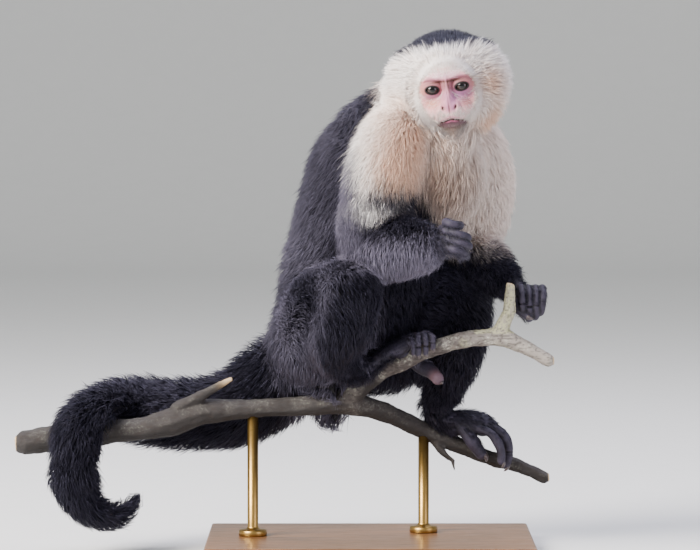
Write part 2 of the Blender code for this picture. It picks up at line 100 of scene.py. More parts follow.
# What each CAD node of flesh wears: the coat's depth, its length and its line.
COATS = {
    "head": (10, 14, None),
    "ear": (1, 7, None),
    "neck": (10, 21, TRUNK_LINE),
    "chest": (11, 18, TRUNK_LINE),
    "abdomen": (12, 19, TRUNK_LINE),
    "upper_arm_right": (9, 15, RIGHT_ARM_LINE),
    "upper_arm_left": (9, 17, LEFT_ARM_LINE),
    "forearm_right": (7, 13, RIGHT_ARM_LINE),
    "forearm_left": (7, 14, LEFT_ARM_LINE),
    "thigh_right": (11, 18, RIGHT_LEG_LINE),
    "thigh_left": (11, 18, LEFT_LEG_LINE),
    "shank_right": (8, 14, RIGHT_LEG_LINE),
    "shank_left": (8, 14, LEFT_LEG_LINE),
    "tail_base": (12, 20, TAIL_LINE),
    "tail_middle": (13, 20, TAIL_LINE),
    "tail_bend": (12, 19, TAIL_LINE),
    "tail_tip": (9, 15, TAIL_LINE),
}
HANDS_AND_FEET = ("hand_right", "hand_left", "foot_right", "foot_left")
BARE_COAT = (1.2, 6, None)  # what hands and feet wear
FLESH = sorted(name for name in NODES if not name.startswith(("perch", "stand", "eye")))
TRUNK = ("chest", "abdomen", "neck")
LEGS = ("thigh_right", "thigh_left", "shank_right", "shank_left")


# ---------------------------------------------------------------- small helpers


def smoothstep(low, high, value):
    """0 on the low side, 1 on the high side, and a smooth rise between them."""
    step = np.clip((value - low) / (high - low), 0, 1)
    return step * step * (3 - 2 * step)


def bump(across, up, wide, tall):
    """A soft hill: 1 in its middle, falling off over the given width and height."""
    return np.exp(-(across / wide) ** 2 - (up / tall) ** 2)


def ridge(away, wide):
    """A soft hill in one direction only."""
    return np.exp(-(away / wide) ** 2)


def hills(across, up, places):
    """The sum of soft hills, each with its height, where it is, and how wide and tall."""
    return sum(high * bump(across - x, up - z, wide, tall) for high, x, z, wide, tall in places)


def patches(points, places):
    """The sum of soft round patches, each with its place, its reach and its strength."""
    return sum(strength * ridge(np.linalg.norm(points - place, axis=1), reach)
               for place, reach, strength in places)


def unit(vectors):
    """The vectors' directions, each of length 1."""
    return vectors / np.maximum(np.linalg.norm(vectors, axis=-1, keepdims=True), 1e-9)


def wobble(points, scale, seed=0.0):
    """Smooth noise between about -1 and 1 that varies over the given distance."""
    return np.array([noise.noise(Vector(point) / scale + Vector((seed, 3.1 * seed, 0)))
                     for point in points])


def in_head(points):
    """Points of the model, in the head's own directions."""
    turn = np.array(HEAD_FRAME.inverted())
    return points @ turn[:3, :3].T + turn[:3, 3]


def out_of_head(points):
    """Points in the head's own directions, back in the model."""
    turn = np.array(HEAD_FRAME)
    return points @ turn[:3, :3].T + turn[:3, 3]


def get_points(mesh, what="co"):
    """The places of a mesh's vertices, or their normals."""
    values = np.empty(len(mesh.vertices) * 3)
    mesh.vertices.foreach_get(what, values)
    return values.reshape(-1, 3)


def set_points(mesh, points):
    mesh.vertices.foreach_set("co", points.ravel())
    mesh.update()


def made(name, shape):
    """Turn a bmesh, in millimetres, into an object in millimetres."""
    mesh = bpy.data.meshes.new(name)
    shape.to_mesh(mesh)
    shape.free()
    piece = bpy.data.objects.new(name, mesh)
    bpy.context.collection.objects.link(piece)
    return piece


def settle(piece):
    """Replace an object's modifiers by the mesh that they give."""
    graph = bpy.context.evaluated_depsgraph_get()
    mesh = bpy.data.meshes.new_from_object(piece.evaluated_get(graph))
    piece.modifiers.clear()
    piece.data = mesh
    return piece


def remeshed(piece, voxel, smoothing):
    """Fuse overlapping forms into one closed surface."""
    remesh = piece.modifiers.new("Remesh", "REMESH")
    remesh.mode = "VOXEL"
    remesh.voxel_size = voxel
    smooth = piece.modifiers.new("Smooth", "SMOOTH")
    smooth.iterations = smoothing
    return settle(piece)


def thinned(piece, share, thin=None):
    """Leave only a share of the triangles; only the chosen vertices are thinned out."""
    decimate = piece.modifiers.new("Thin", "DECIMATE")
    decimate.ratio = share
    if thin is not None:
        group = piece.vertex_groups.new(name="thin")
        group.add([int(index) for index in np.flatnonzero(thin)], 1.0, "REPLACE")
        decimate.vertex_group = group.name
    return settle(piece)


def copy_nodes(name, nodes, swell=0.5):
    """Copies of CAD nodes in one object, in millimetres, swollen to close their gaps."""
    shape = bmesh.new()
    for node in nodes:
        part = bmesh.new()
        part.from_mesh(NODES[node].data)
        bmesh.ops.scale(part, vec=(1 / MM,) * 3, verts=part.verts)
        bmesh.ops.remove_doubles(part, verts=part.verts, dist=0.001)
        part.normal_update()
        for vertex in part.verts:
            vertex.co += vertex.normal * swell
        mesh = bpy.data.meshes.new("copy")
        part.to_mesh(mesh)
        part.free()
        shape.from_mesh(mesh)
        bpy.data.meshes.remove(mesh)
    return made(name, shape)


def edge_list(mesh):
    """Which two vertices each edge joins."""
    edges = np.empty(len(mesh.edges) * 2, int)
    mesh.edges.foreach_get("vertices", edges)
    return edges.reshape(-1, 2)


def soften(edges, values, rounds):
    """Average a value at each vertex with those of its neighbours, several times."""
    first, second = edges.T
    count = np.maximum(np.bincount(edges.ravel(), minlength=len(values)), 1)
    shape = values.reshape(len(values), -1)
    for _ in range(rounds):
        total = np.stack([np.bincount(first, column[second], len(values))
                          + np.bincount(second, column[first], len(values))
                          for column in shape.T], axis=1)
        shape = 0.4 * shape + 0.6 * total / count[:, None]
    return shape.reshape(values.shape)


def tree_of(points):
    """A search tree of points."""
    tree = kdtree.KDTree(len(points))
    for index, point in enumerate(points):
        tree.insert(point, index)
    tree.balance()
    return tree


def nearest(tree, points):
    """For each point, which of the tree's points is nearest."""
    return np.fromiter((tree.find(point)[1] for point in points), int, len(points))


def along_line(line, points):
    """For each point, the direction of the nearest stretch of a line."""
    line = np.array(line, float)
    starts, steps = line[:-1], np.diff(line, axis=0)
    lengths = np.linalg.norm(steps, axis=1)
    way = points[:, None] - starts
    on = np.clip((way * steps).sum(2) / lengths ** 2, 0, 1)
    away = np.linalg.norm(way - on[..., None] * steps, axis=2)
    pull = ridge(away - away.min(1, keepdims=True), 8)
    pull /= pull.sum(1, keepdims=True)
    return unit(pull @ (steps / lengths[:, None]))


# ---------------------------------------------------------------- markings of skin and coat, with painted sheen and shade


def on_head(region):
    """Whether a region wears the head's coat."""
    return (region == "head") | np.char.startswith(region, "ear")


def pale_at(points, region):
    """How pale the coat is: 1 on the face, chest and shoulders, 0 where it is black; painted shade
    greys the chest's middle.
    """
    x, y, z = points.T
    climbed = np.clip((z - SPINE_LOW[2]) / (SPINE_HIGH[2] - SPINE_LOW[2]), 0, 1.3)
    from_spine = points - (SPINE_LOW + climbed[:, None] * (SPINE_HIGH - SPINE_LOW))
    ahead, aside = from_spine @ CHEST_WAY, np.abs(from_spine @ RIGHT_WAY)
    rough = wobble(points, 9) * 7 + wobble(points, 3, 5) * 3
    pale = smoothstep(-5, 7, ahead - 0.62 * (aside - 38) + rough)
    # The mantle ends lowest on the far arm and the chest, and at a line behind the near arm.
    far_arm = np.isin(region, ("upper_arm_left", "forearm_left"))
    near_arm = region == "upper_arm_right"
    front = np.isin(region, ("chest", "abdomen"))
    lowest = np.select([far_arm, near_arm, front], [281, 341, 306], 322)
    lowest = lowest - 22 * near_arm * smoothstep(4, -8, x) + 28 * front * ridge(x - 44, 15)
    pale = pale * smoothstep(-10, 10, z - lowest + rough)
    behind = -9 + 0.4 * np.maximum(z - 378, 0) + 0.15 * np.maximum(350 - z, 0)
    pale = np.where(y < 0, pale * smoothstep(-6, 6, x - behind + rough), pale)
    # The near elbow has a white patch, below which the forearm is black.
    elbow = 0.85 * bump(x - 5, z - 321 + rough, 14, 6)
    pale = np.where(near_arm, np.maximum(pale, elbow), pale)
    pale = np.where(region == "forearm_right", elbow, pale)
    black = np.char.startswith(region, "tail") | np.isin(region, (*LEGS, *HANDS_AND_FEET))
    pale = np.where(black, 0, pale)
    # Painted shade: black hair mixed in greys the middle of the chest, where the head's shadow falls.
    in_shade = 0.42 * bump(x - 72, z - 342, 32, 38) * np.isin(region, TRUNK)
    of_head = 1 - np.maximum(cap_at(points), 0.6 * beard_at(points))
    return np.where(on_head(region), of_head, pale * (1 - in_shade))


def mix_at(region):
    """How far hairs of different colours mix across a border: little on the head."""
    return np.where(region == "head", 0.5, 2.6)[:, None]


def beard_at(points):
    """The greyer patch of skin and hair just under the lower lip."""
    across, _, up = in_head(points).T
    below = mouth_line(across) - up - ridge(across, 5)
    reach = smoothstep(1.25, 0.75, np.abs(across - 2) / 17)
    return smoothstep(0.2, 1.2, below) * smoothstep(12, 6, below) * reach


def cap_at(points):
    """How much of a point lies in the black cap, which ends in a shallow curve on the brow."""
    across, back, up = in_head(points).T
    edge = 29.5 - 0.0004 * across ** 2 - 0.5 * np.maximum(back, 0)
    rough = wobble(points, 4, 2) * 1.4 + wobble(points, 1.6, 6) * 0.7
    nape = smoothstep(-3, 3, 21 - np.abs(across) + 2 * rough) * smoothstep(24, 34, back)
    return np.maximum(smoothstep(-1.6, 1.6, up - edge + rough), nape)


# Warm patches of the coat: place, reach and strength. The head's are in its own directions.
# Those on the lower ruff, under the jaw and on the chest's middle are partly painted shade, warming and
# darkening hair in the folds and shadow under the head.
HEAD_TANS = [((-37, -20, -9), 12, 0.5), ((33, -24, 1), 12, 0.8), ((30, -18, -30), 16, 1.0),
             ((-27, -16, -36), 15, 0.9), ((0, -46, -34), 11, 0.6)]
BODY_TANS = [((28, -88, 366), 32, 0.75), ((44, -66, 396), 18, 1.0), ((24, -92, 344), 20, 0.3),
             ((88, -70, 340), 34, 0.3), ((62, -66, 350), 30, 0.35), ((58, -66, 372), 16, 0.4)]


def tan_at(points, region):
    """How warm the pale coat is: whitest at the back of the near arm, and below its dark band."""
    warm = (0.34 + patches(points, BODY_TANS)) * smoothstep(-16, 22, points[:, 0])
    warm = warm * np.where(region == "upper_arm_right", smoothstep(326, 345, points[:, 2]), 1)
    of_head = 0.12 + patches(in_head(points), HEAD_TANS)
    return np.clip(np.where(on_head(region), of_head, warm) + 0.1 * wobble(points, 14, 9), 0, 1)


def painted_sheen_at(points, region):
    """Painted sheen: how silvery the tips of the black hair are painted where light catches them, most
    on the near forearm's underside.
    """
    x, z = points[:, 0], points[:, 2]
    forearm = 0.04 + 0.54 * smoothstep(300, 286, z + 5 * wobble(points, 7, 4))
    elbow = 0.06 + 0.36 * smoothstep(2, -16, x)
    # The back and thigh get a soft painted sheen, but not the rump, and the hollow of the waist is left
    # dark as painted shade.
    trunk = 0.15 + 0.11 * smoothstep(340, 290, z) + 0.25 * bump(x + 18, z - 222, 14, 28)
    above_rump = np.maximum(smoothstep(-96, -72, x), smoothstep(215, 250, z))
    trunk = trunk * smoothstep(16, -8, x) * above_rump
    trunk = trunk * (1 - bump(x + 58, z - 238, 21, 22)) * (1 - 0.8 * bump(x + 26, z - 275, 10, 26))
    toes = 0.7 * smoothstep(30, 36, x)
    kinds = [region == "forearm_right", region == "upper_arm_right", region == "hand_right",
             np.isin(region, ("thigh_right", *TRUNK)), region == "foot_right"]
    painted_sheen = np.select(kinds, [forearm, elbow, 0.3, trunk, toes], 0.02)
    return np.clip(painted_sheen + 0.06 * wobble(points, 10, 2), 0, 1)


# ---------------------------------------------------------------- the face

FACE_MIDDLE_UP = -6
FACE_HALF = (32, 36)  # half-width and half-height of the part that is worked finer

# Rounded forms of the face: place and half-size in the head's frame, as on the CAD head.
# They are read on both sides of the middle.
FACE_FORMS = [
    ((0, 6, 7), (48, 46, 44)),
    ((0, -28, 2), (32, 18, 35)),
    ((0, -39, -18.5), (22, 17, 14)),
    ((0, -37, -31.5), (14, 12, 9)),
    ((9, -39, -7), (9, 10, 10)),
    ((19, -35, -12), (12, 9, 13)),
    ((0, -43, 3), (5, 8, 12)),
    ((0, -46, -8), (7, 9, 10.5)),
    ((10, -38, 12), (16, 10.5, 6)),
]
LID_HALF = (5.4, 2.95)  # half-width and half-height of the open eye
EYE_ROOM = 7.6  # how far from an eye's middle the skin is worked finest
NOSTRIL_AT = (5.7, -15.6)  # aside and up
MOUTH_UP, MOUTH_HALF = -26.2, 15.5
FORMS_SET_BACK = 1.3  # how far the skin lies behind the rounded forms above
FORMS_SHARPNESS = 0.55  # how crisply one rounded form meets the next

# Hills and hollows on those forms: height, place aside and up, width and height.
FACE_RELIEF = [
    (-1.2, 6.5, 1, 2.2, 6),  # the socket's inner corner
    (1.9, 10, 10.4, 12, 2.2),  # the brow that overhangs the eye
    (-0.9, 1.7, 6, 0.8, 5),  # the frown
    (-0.5, 0, -1, 0.8, 6),  # the crease on the nose's bridge
    (2.0, 7, -13.8, 3.2, 3.6),  # the nose's wing
    (1.0, 0, -14.2, 3.6, 5),  # its tip
    (-1.0, 0, -16.5, 0.7, 7.5),  # the groove of the broad septum
]

# Markings of the face's skin: strength, place aside and up, width and height. The first
# are read on both sides of the middle, the second only where they say.
# The creases are painted shade in the face's folds; the brown and mauve marks are partly painted shade.
MARKS_ON_BOTH_SIDES = {
    "crease": [(0.5, 1.7, 5, 0.8, 5), (0.7, 0, -17, 0.8, 7)],
    "flush": [(0.9, 21, 2, 5, 6), (0.8, 15, -10, 8, 6), (0.25, 6.5, 1, 2.5, 6)],
    "brown_and_painted_shade": [(0.85, 3, 4, 5, 6)],
}
# Most of these paint shade on the face's shaded side: its cheek, round its eye, and that side of the
# nose.
MARKS_ON_ONE_SIDE = {
    "crease": [(0.4, 1.5, -2, 0.9, 9)],
    "brown_and_painted_shade": [(0.8, 18, -9, 9, 8), (0.8, 17, 7, 9, 5)],
    "mauve_and_painted_shade": [(0.7, 3, -12, 8, 12), (0.7, 14, -5, 10, 5), (0.5, -14, -4.5, 9, 2.5),
              (0.5, 0, 13, 16, 4)],
}


def form_front(across, up, place, size):
    """How far forward an ellipsoid reaches at a place on the face."""
    inside = 1 - ((across - place[0]) / size[0]) ** 2 - ((up - place[2]) / size[2]) ** 2
    return np.where(inside > 0, -place[1] + size[1] * np.sqrt(np.maximum(inside, 0)),
                    -place[1] + 14 * np.minimum(inside, 0))


def mouth_line(across):
    """The height of the closed mouth: it drops towards its corners."""
    return MOUTH_UP - 3.3 * (np.abs(across) / MOUTH_HALF) ** 0.85


def lid_opening(across, up):
    """Below 1 inside the open eye; its corners are pointed, the inner one a little lower."""
    out = np.abs(across) - EYE_AT.x
    rise = up - EYE_AT.z - 0.12 * out
    wide = np.clip(1 - (out / LID_HALF[0]) ** 2, 0, 1)
    tall = LID_HALF[1] * np.where(rise > 0, 0.92, 1.0) * wide ** 0.62
    return np.where(wide > 0, np.abs(rise) / np.maximum(tall, 0.05), 20)


def brow_line(side):
    """The height of the fold under the brow: it rises outwards and turns down at its end."""
    return 7.5 + 0.1 * side - 0.006 * side ** 2


def nostril_at(side, up):
    """1 in the middle of a nostril, which leans outwards as it rises."""
    rise = up - NOSTRIL_AT[1]
    return bump(side - NOSTRIL_AT[0] - 0.25 * rise, rise, 1.1, 1.9)


def face_front(across, up):
    """How far forward the bare face reaches from the head's middle."""
    side = np.abs(across)
    fronts = np.stack([form_front(side, up, *form) for form in FACE_FORMS])
    highest = fronts.max(0)
    front = np.log(np.exp(FORMS_SHARPNESS * (fronts - highest)).sum(0)) / FORMS_SHARPNESS + highest
    front += hills(side, up, FACE_RELIEF) - FORMS_SET_BACK
    # The sockets, the folds under the brow, the nostrils, and the folds beside the mouth.
    from_eye = np.hypot(side - EYE_AT.x, up - EYE_AT.z)
    front -= 5.4 * np.exp(-(from_eye / 9.5) ** 4)
    front -= 1.3 * bump(side - 10, up - brow_line(side), 12, 0.9)
    front -= 3.2 * nostril_at(side, up)
    front -= 0.8 * bump(side - 11 + 0.32 * (up + 14.5), up + 20.5, 1.1, 7)
    # Lips: a groove between two soft rolls.
    from_mouth = up - mouth_line(across)
    lower_lip = 0.7 * ridge(from_mouth + 1.8, 1.4) * smoothstep(9, 2, side)
    lips = 0.9 * ridge(from_mouth - 2, 1.7) + lower_lip - 1.9 * ridge(from_mouth, 0.6)
    front += lips * smoothstep(MOUTH_HALF + 1.5, MOUTH_HALF - 2, side)
    # Fine lines under the eyes.
    for ring in (9.2, 11.4, 13.8):
        front -= 0.35 * ridge(from_eye - ring, 0.55) * smoothstep(1, -4, up - EYE_AT.z)
    # The lids lie on the eyeball; inside the opening the skin drops behind it.
    ball = -EYE_AT.y + np.sqrt(np.maximum(EYE_RADIUS ** 2 - from_eye ** 2, 0))
    lid = -EYE_AT.y + EYE_RADIUS + 0.95 - 0.068 * from_eye ** 2
    front = np.logaddexp(1.5 * front, 1.5 * lid) / 1.5
    return front + (ball - 1.6 - front) * smoothstep(1.1, 0.9, lid_opening(across, up))


def face_share(points):
    """1 in the middle of the face, 0 outside it."""
    across, back, up = in_head(points).T
    reach = np.hypot(across / FACE_HALF[0], (up - FACE_MIDDLE_UP) / FACE_HALF[1])
    return smoothstep(1.0, 0.72, reach) * smoothstep(-16, -24, back)


# ---------------------------------------------------------------- hands and feet


def close_rings(shape, rings):
    """Join rings of vertices by faces, and close both ends."""
    sides = len(rings[0])
    for ring, following in zip(rings, rings[1:]):
        for side in range(sides):
            after = (side + 1) % sides
            shape.faces.new((ring[side], ring[after], following[after], following[side]))
    shape.faces.new(rings[0][::-1])
    shape.faces.new(rings[-1])


def smooth_line(places, steps):
    """Points along a smooth line through the given places."""
    places = [Vector(place) for place in places]
    ends = [2 * places[0] - places[1], *places, 2 * places[-1] - places[-2]]
    line = []
    for index in range(1, len(ends) - 2):
        before, start, end, after = ends[index - 1:index + 3]
        for step in range(steps):
            t = step / steps
            line.append(0.5 * ((2 * start) + (end - before) * t
                               + (2 * before - 5 * start + 4 * end - after) * t * t
                               + (3 * start - before - 3 * end + after) * t ** 3))
    return [*line, places[-1]]


def add_tube(shape, places, radii, flat=1.0, sides=14, steps=5):
    """A round-ended tube through the places; flat squeezes it upwards and downwards."""
    line = smooth_line(places, steps)
    radii = np.interp(np.linspace(0, 1, len(line)), np.linspace(0, 1, len(radii)), radii).tolist()
    first, last = line[0] - line[1], line[-1] - line[-2]
    rings = [(line[0] + first.normalized() * radii[0] * 0.75, radii[0] * 0.6)]
    rings += list(zip(line, radii))
    rings.append((line[-1] + last.normalized() * radii[-1] * 0.75, radii[-1] * 0.6))
    loops = []
    for index, (middle, radius) in enumerate(rings):
        way = rings[min(index + 1, len(rings) - 1)][0] - rings[max(index - 1, 0)][0]
        across = way.cross(Vector((0, 0, 1))).normalized()
        other = way.cross(across).normalized()
        loops.append([shape.verts.new(middle + radius * (across * math.cos(angle)
                                                         + other * math.sin(angle) * flat))
                      for angle in (2 * math.pi * side / sides for side in range(sides))])
    close_rings(shape, loops)


def add_lump(shape, place, size):
    """An ellipsoid of the given half-sizes."""
    spot = Matrix.Translation(place) @ Matrix.Diagonal((*size, 1))
    bmesh.ops.create_uvsphere(shape, u_segments=20, v_segments=10, radius=1, matrix=spot)


# Fingers and toes: the places that each runs through, and its thickness at root and tip.
# The near fist's four are given by their height, their furthest x and their fall to there.
DIGITS = {
    "hand_right": [([(67, -101, h), (r - 7, -106, h - 0.5 * fall), (r, -101, h - fall),
                     (r, -92, h - fall - 1), (r - 6, -87, h - fall - 2)], 4.2, 3.4)
                   for h, r, fall in ((306.5, 79, 3), (298.8, 86, 6), (291.4, 87, 6), (284, 83, 4.5))]
                  + [([(64, -92, 299), (72, -85, 303), (80, -82, 303)], 5.0, 3.9)],
    "hand_left": [([(x, -20, 244), (x + 0.6, -28, 238), (x + 0.3 + 0.4 * lean, -30.5, low + 9),
                    (x + lean, -25.5, low), (x + lean - 1, -15, low - 1), (x + lean - 2, -9, low + 4)],
                   3.9, 3.2)
                  for x, lean, low in ((138.5, 2, 220), (144.8, 1, 217), (151.3, 0, 218.5),
                                       (157.4, -1.4, 222.5))]
                 + [([(134, -16, 231), (136, -26, 224), (144, -30, 219)], 4.6, 3.8)],
    "foot_right": [([(33, -35, 194), (37, -41, 199), (39, -46, 193), (39.5, -46, 184.5)], 2.9, 2.3),
                   ([(37, -36, 198), (42, -42, 202), (44, -47, 194), (44, -47, 184)], 3.0, 2.3),
                   ([(43, -36, 200), (48.5, -42, 203), (50.5, -46.5, 195), (50.5, -46, 185)], 3.1, 2.4),
                   ([(49, -36, 200), (55, -41.5, 202), (57, -45, 197), (57, -44.5, 190)], 3.0, 2.4),
                   ([(28, -28, 188), (36, -15, 180), (47, -14, 172), (56, -21, 167),
                     (61, -28, 162)], 9.0, 5.5)],
    "foot_left": [([(89, 25, 114), (110, 19.5, 108), (118, 18, 99), (121.5, 18, 90), (122, 19, 81)],
                   4.6, 3.9),
                  ([(102, 28.5, 114), (116, 28, 110.5), (126, 28, 101), (129.5, 28, 88),
                    (126.5, 29, 77)], 4.6, 3.9),
                  ([(103, 37, 115), (117, 37, 111), (127, 37, 101), (130, 37, 88), (128, 36, 78)],
                   4.6, 3.9),
                  ([(101, 46, 113), (114, 46, 109), (124, 46, 99), (127, 45, 87), (125, 44, 79)],
                   4.5, 3.8),
                  ([(84, 27, 113), (91, 23, 105), (98, 24, 95), (103.5, 27, 87)], 7.0, 5.6)],
}
# The way that a nail faces, where it isn't outwards from the digit's bend.
NAIL_WAYS = {("foot_right", 4): (-0.4, 1, 0.4), ("foot_left", 4): (0.3, -0.5, 0.7)}
SOLE_FLATNESS = 0.76
# Where each hand and foot meets its limb.
WRISTS = {"hand_right": (61, -96, 286), "hand_left": (131, -8, 243), "foot_right": (9, -38, 178),
          "foot_left": (65, 32, 128)}


def make_hands_and_feet():
    """The bare hands and feet, each fused with a stub that runs up into its limb."""
    shape = bmesh.new()
    # The near wrist and palm, then the far ones.
    add_tube(shape, [(38, -84, 285), (52, -91, 285), (64, -96, 286)], [12, 10.5, 10])
    add_lump(shape, (70, -96, 292.5), (10, 7.5, 14.5))
    add_tube(shape, [(110, 12, 261), (124, -2, 250), (136, -11, 241)], [11, 9.5, 9])
    add_lump(shape, (147, -12, 232), (13, 12, 13))
    # The near foot from its ankle to its toes, with the tip of its first toe.
    add_tube(shape, [(-25, -46, 185), (-17, -42, 170), (-3, -39, 172), (10, -38, 181),
                     (22, -37, 188), (34, -34, 195)], [12.5, 11, 10, 9, 10, 9],
             flat=SOLE_FLATNESS)
    add_lump(shape, (61.5, -29.5, 161.5), (5.8, 5, 6))
    # The ball of the far foot and the near heel, then the far ankle and foot.
    add_lump(shape, (78, 32, 113), (13, 11, 10))
    add_lump(shape, (-20, -43, 167), (10, 9.5, 8))
    add_tube(shape, [(66, 31, 150), (64, 32, 128), (64, 32, 119)], [14, 13.5, 12])
    add_tube(shape, [(62, 32, 120), (74, 32, 118), (86, 34, 116), (98, 35, 115), (107, 35, 113)],
             [12, 13, 14, 14.5, 14], flat=SOLE_FLATNESS)
    for digits in DIGITS.values():
        for places, thick, thin in digits:
            middle = (thick + thin) / 2
            add_tube(shape, places, [thick, middle * 0.94, middle * 1.07, middle * 0.93, thin])
    return thinned(remeshed(made("extremities", shape), voxel=0.75, smoothing=3), share=0.36)


# ---------------------------------------------------------------- the skin


def nearest_node(points, nodes):
    """Which of the named CAD nodes each point lies nearest to."""
    verts, faces, owner = [], [], []
    for node in nodes:
        mesh = NODES[node].data
        first = len(verts)
        verts.extend(vertex.co / MM for vertex in mesh.vertices)
        for face in mesh.polygons:
            faces.append([first + index for index in face.vertices])
            owner.append(node)
    tree = BVHTree.FromPolygons(verts, faces)
    return np.array([owner[tree.find_nearest(point)[2]] for point in points])


def coat_of(region):
    """The coat's depth, length and line in a region."""
    for start, coat in COATS.items():
        if region.startswith(start):
            return coat
    return BARE_COAT


def head_depth(points):
    """The depth of the coat on the head: least on the face, most in the ruff."""
    across, _, up = in_head(points).T
    side = smoothstep(18, 44, np.abs(across))
    depth = 7 + 7 * side * smoothstep(40, 10, up)
    depth = depth - 3.2 * smoothstep(24, 40, up)
    return depth * (1 - face_share(points)) + 0.6


class Skin:
    """The skin's mesh, and what grows on it at each vertex."""

    def __init__(self):
        body, inner, inner_region, inner_depth = make_body_skin()
        refine_face(body)
        count = len(body.data.vertices)
        bare = make_hands_and_feet()
        self.piece = joined("skin", [body, bare])
        mesh = self.piece.data
        self.points, self.normals = get_points(mesh), get_points(mesh, "normal")
        source = nearest(tree_of(inner), self.points[:count])
        self.region = np.concatenate((inner_region[source],
                                      nearest_node(self.points[count:], HANDS_AND_FEET)))
        self.share = face_share(self.points)
        self.edges = edge_list(mesh)
        self.tree = tree_of(self.points)
        self.up_limb = up_the_limb(self.points, self.region)
        self.depth = 1.6 + 4 * self.up_limb
        self.depth[:count] = inner_depth[source]
        self.length = np.array([coat_of(name)[1] for name in self.region]) + 8 * self.up_limb
        self.length = soften(self.edges, self.length, 5)
        self.pale = pale_at(self.points, self.region)
        self.tan = tan_at(self.points, self.region)
        self.painted_sheen = painted_sheen_at(self.points, self.region)
        self.lie = self.find_lie()
        unwrap(self.piece)
        self.read_triangles()

    def read_triangles(self):
        """The triangles that tufts are rooted in: their corners, places on the unwrap, areas."""
        mesh = self.piece.data
        mesh.calc_loop_triangles()
        self.corners = np.array([tri.vertices for tri in mesh.loop_triangles])
        loops = np.array([tri.loops for tri in mesh.loop_triangles])
        places = np.empty(len(mesh.loops) * 2)
        mesh.uv_layers["OFBake"].data.foreach_get("uv", places)
        self.unwrapped = places.reshape(-1, 2)[loops]
        first, second, third = (self.points[self.corners[:, side]] for side in range(3))
        self.areas = np.linalg.norm(np.cross(second - first, third - first), axis=1) / 2

    def find_lie(self):
        """The direction in which the coat lies at each vertex."""
        lie = self.head_lie()
        for start, (_, _, line) in COATS.items():
            worn = np.char.startswith(self.region, start)
            if line and worn.any():
                lie[worn] = along_line(line, self.points[worn])
        for name in HANDS_AND_FEET:
            worn = self.region == name
            root, *_, tip = [np.array(place) for place in DIGITS[name][1][0]]
            lie[worn] = unit(tip - root)
        lie += 0.9 * CHEST_WAY * (self.region == "neck")[:, None]
        # On top of a shoulder the coat lies outwards, and only then down the arm.
        upward = np.clip(self.normals[:, 2], 0, 1)[:, None]
        for name, way in (("upper_arm_right", RIGHT_WAY), ("upper_arm_left", -RIGHT_WAY)):
            lie += 0.6 * upward * way * (self.region == name)[:, None]
        hanging = (self.region == "forearm_right")[:, None]
        lie = np.where(hanging, 0.15 * lie + np.array((-0.15, 0, -1)), lie)
        droop = np.where(np.isin(self.region, TRUNK), 0.35, 0.12)
        lie[:, 2] -= droop * (self.share < 0.5)
        lie -= self.normals * (lie * self.normals).sum(1)[:, None]
        return unit(soften(self.edges, unit(lie), 8))

    def head_lie(self):
        """On the head the coat runs out from the middle of the face and back over it."""
        local = in_head(self.points)
        out = local * (1, 0, 1) - (0, 0, 4)
        off_middle = np.abs(local[:, :1]) + local[:, 2:]
        out = unit(out) + np.array((0, 0.75, 0)) * smoothstep(5, 40, off_middle)
        low = smoothstep(-12, -32, local[:, 2:])
        out = out * (1 - 0.85 * low) + np.array((0, 0.1, -1)) * low
        return unit(out) @ np.array(HEAD_FRAME)[:3, :3].T


def make_body_skin():
    """The skin without hands and feet, and the region and coat depth at points on it."""
    body = copy_nodes("skin", [name for name in sorted(NODES) if name not in HANDS_AND_FEET
                               and not name.startswith(("perch", "stand"))])
    remeshed(body, voxel=2.0, smoothing=12)
    points = get_points(body.data)
    region = nearest_node(points, [name for name in FLESH if name not in HANDS_AND_FEET])
    depth = np.array([coat_of(name)[0] for name in region], float)
    depth = np.where(region == "head", head_depth(points), depth)
    edges = edge_list(body.data)
    depth = soften(edges, depth, 14)
    normals = unit(soften(edges, get_points(body.data, "normal"), 6))
    points -= normals * (depth + 0.5)[:, None]
    set_points(body.data, points)
    remeshed(body, voxel=2.0, smoothing=3)
    # Under the coat the skin needs less detail than on the face.
    thinned(body, share=0.25, thin=face_share(get_points(body.data)) == 0)
    return body, points, region, depth


def refine_face(body):
    """Split the face's quads finely and give them the form of the bare face."""
    shape = bmesh.new()
    shape.from_mesh(body.data)
    for by_eyes in (False, False, True):
        points = np.array([vertex.co for vertex in shape.verts])
        inside = face_share(points) > 0
        if by_eyes:
            across, _, up = in_head(points).T
            inside &= np.hypot(np.abs(across) - EYE_AT.x, up - EYE_AT.z) < EYE_ROOM
        shape.verts.index_update()
        chosen = [edge for edge in shape.edges
                  if inside[edge.verts[0].index] and inside[edge.verts[1].index]]
        bmesh.ops.subdivide_edges(shape, edges=chosen, cuts=1, use_grid_fill=True)
    shape.to_mesh(body.data)
    shape.free()
    points = get_points(body.data)
    share = face_share(points)
    local = in_head(points)
    local[:, 1] = local[:, 1] * (1 - share) - face_front(local[:, 0], local[:, 2]) * share
    set_points(body.data, out_of_head(local))


def joined(name, pieces):
    """Several objects' meshes as one object."""
    shape = bmesh.new()
    for piece in pieces:
        shape.from_mesh(piece.data)
        bpy.data.objects.remove(piece, do_unlink=True)
    return made(name, shape)


def unwrap(piece):
    """Unwrap a piece's own shape into a UV map."""
    piece.data.uv_layers.new(name="OFBake")
    bpy.context.view_layer.objects.active = piece
    piece.select_set(True)
    bpy.ops.object.mode_set(mode="EDIT")
    bpy.ops.mesh.select_all(action="SELECT")
    bpy.ops.uv.smart_project(angle_limit=math.radians(66), island_margin=0.001)
    bpy.ops.object.mode_set(mode="OBJECT")
    piece.select_set(False)


# ---------------------------------------------------------------- the coat

# A capuchin's hairs are finer than a tenth of a millimetre. Each tuft stands for a pinch of
# them, and is as thick as it has to be for the coat to close.
PATCH = 0.003  # how wide a tuft's patch is on the unwrap of the skin
THIRD_TURN = math.radians(120)
LOCK = 7  # tufts that lie and rise alike
TURN = 9  # degrees by which a tuft strays from the lie

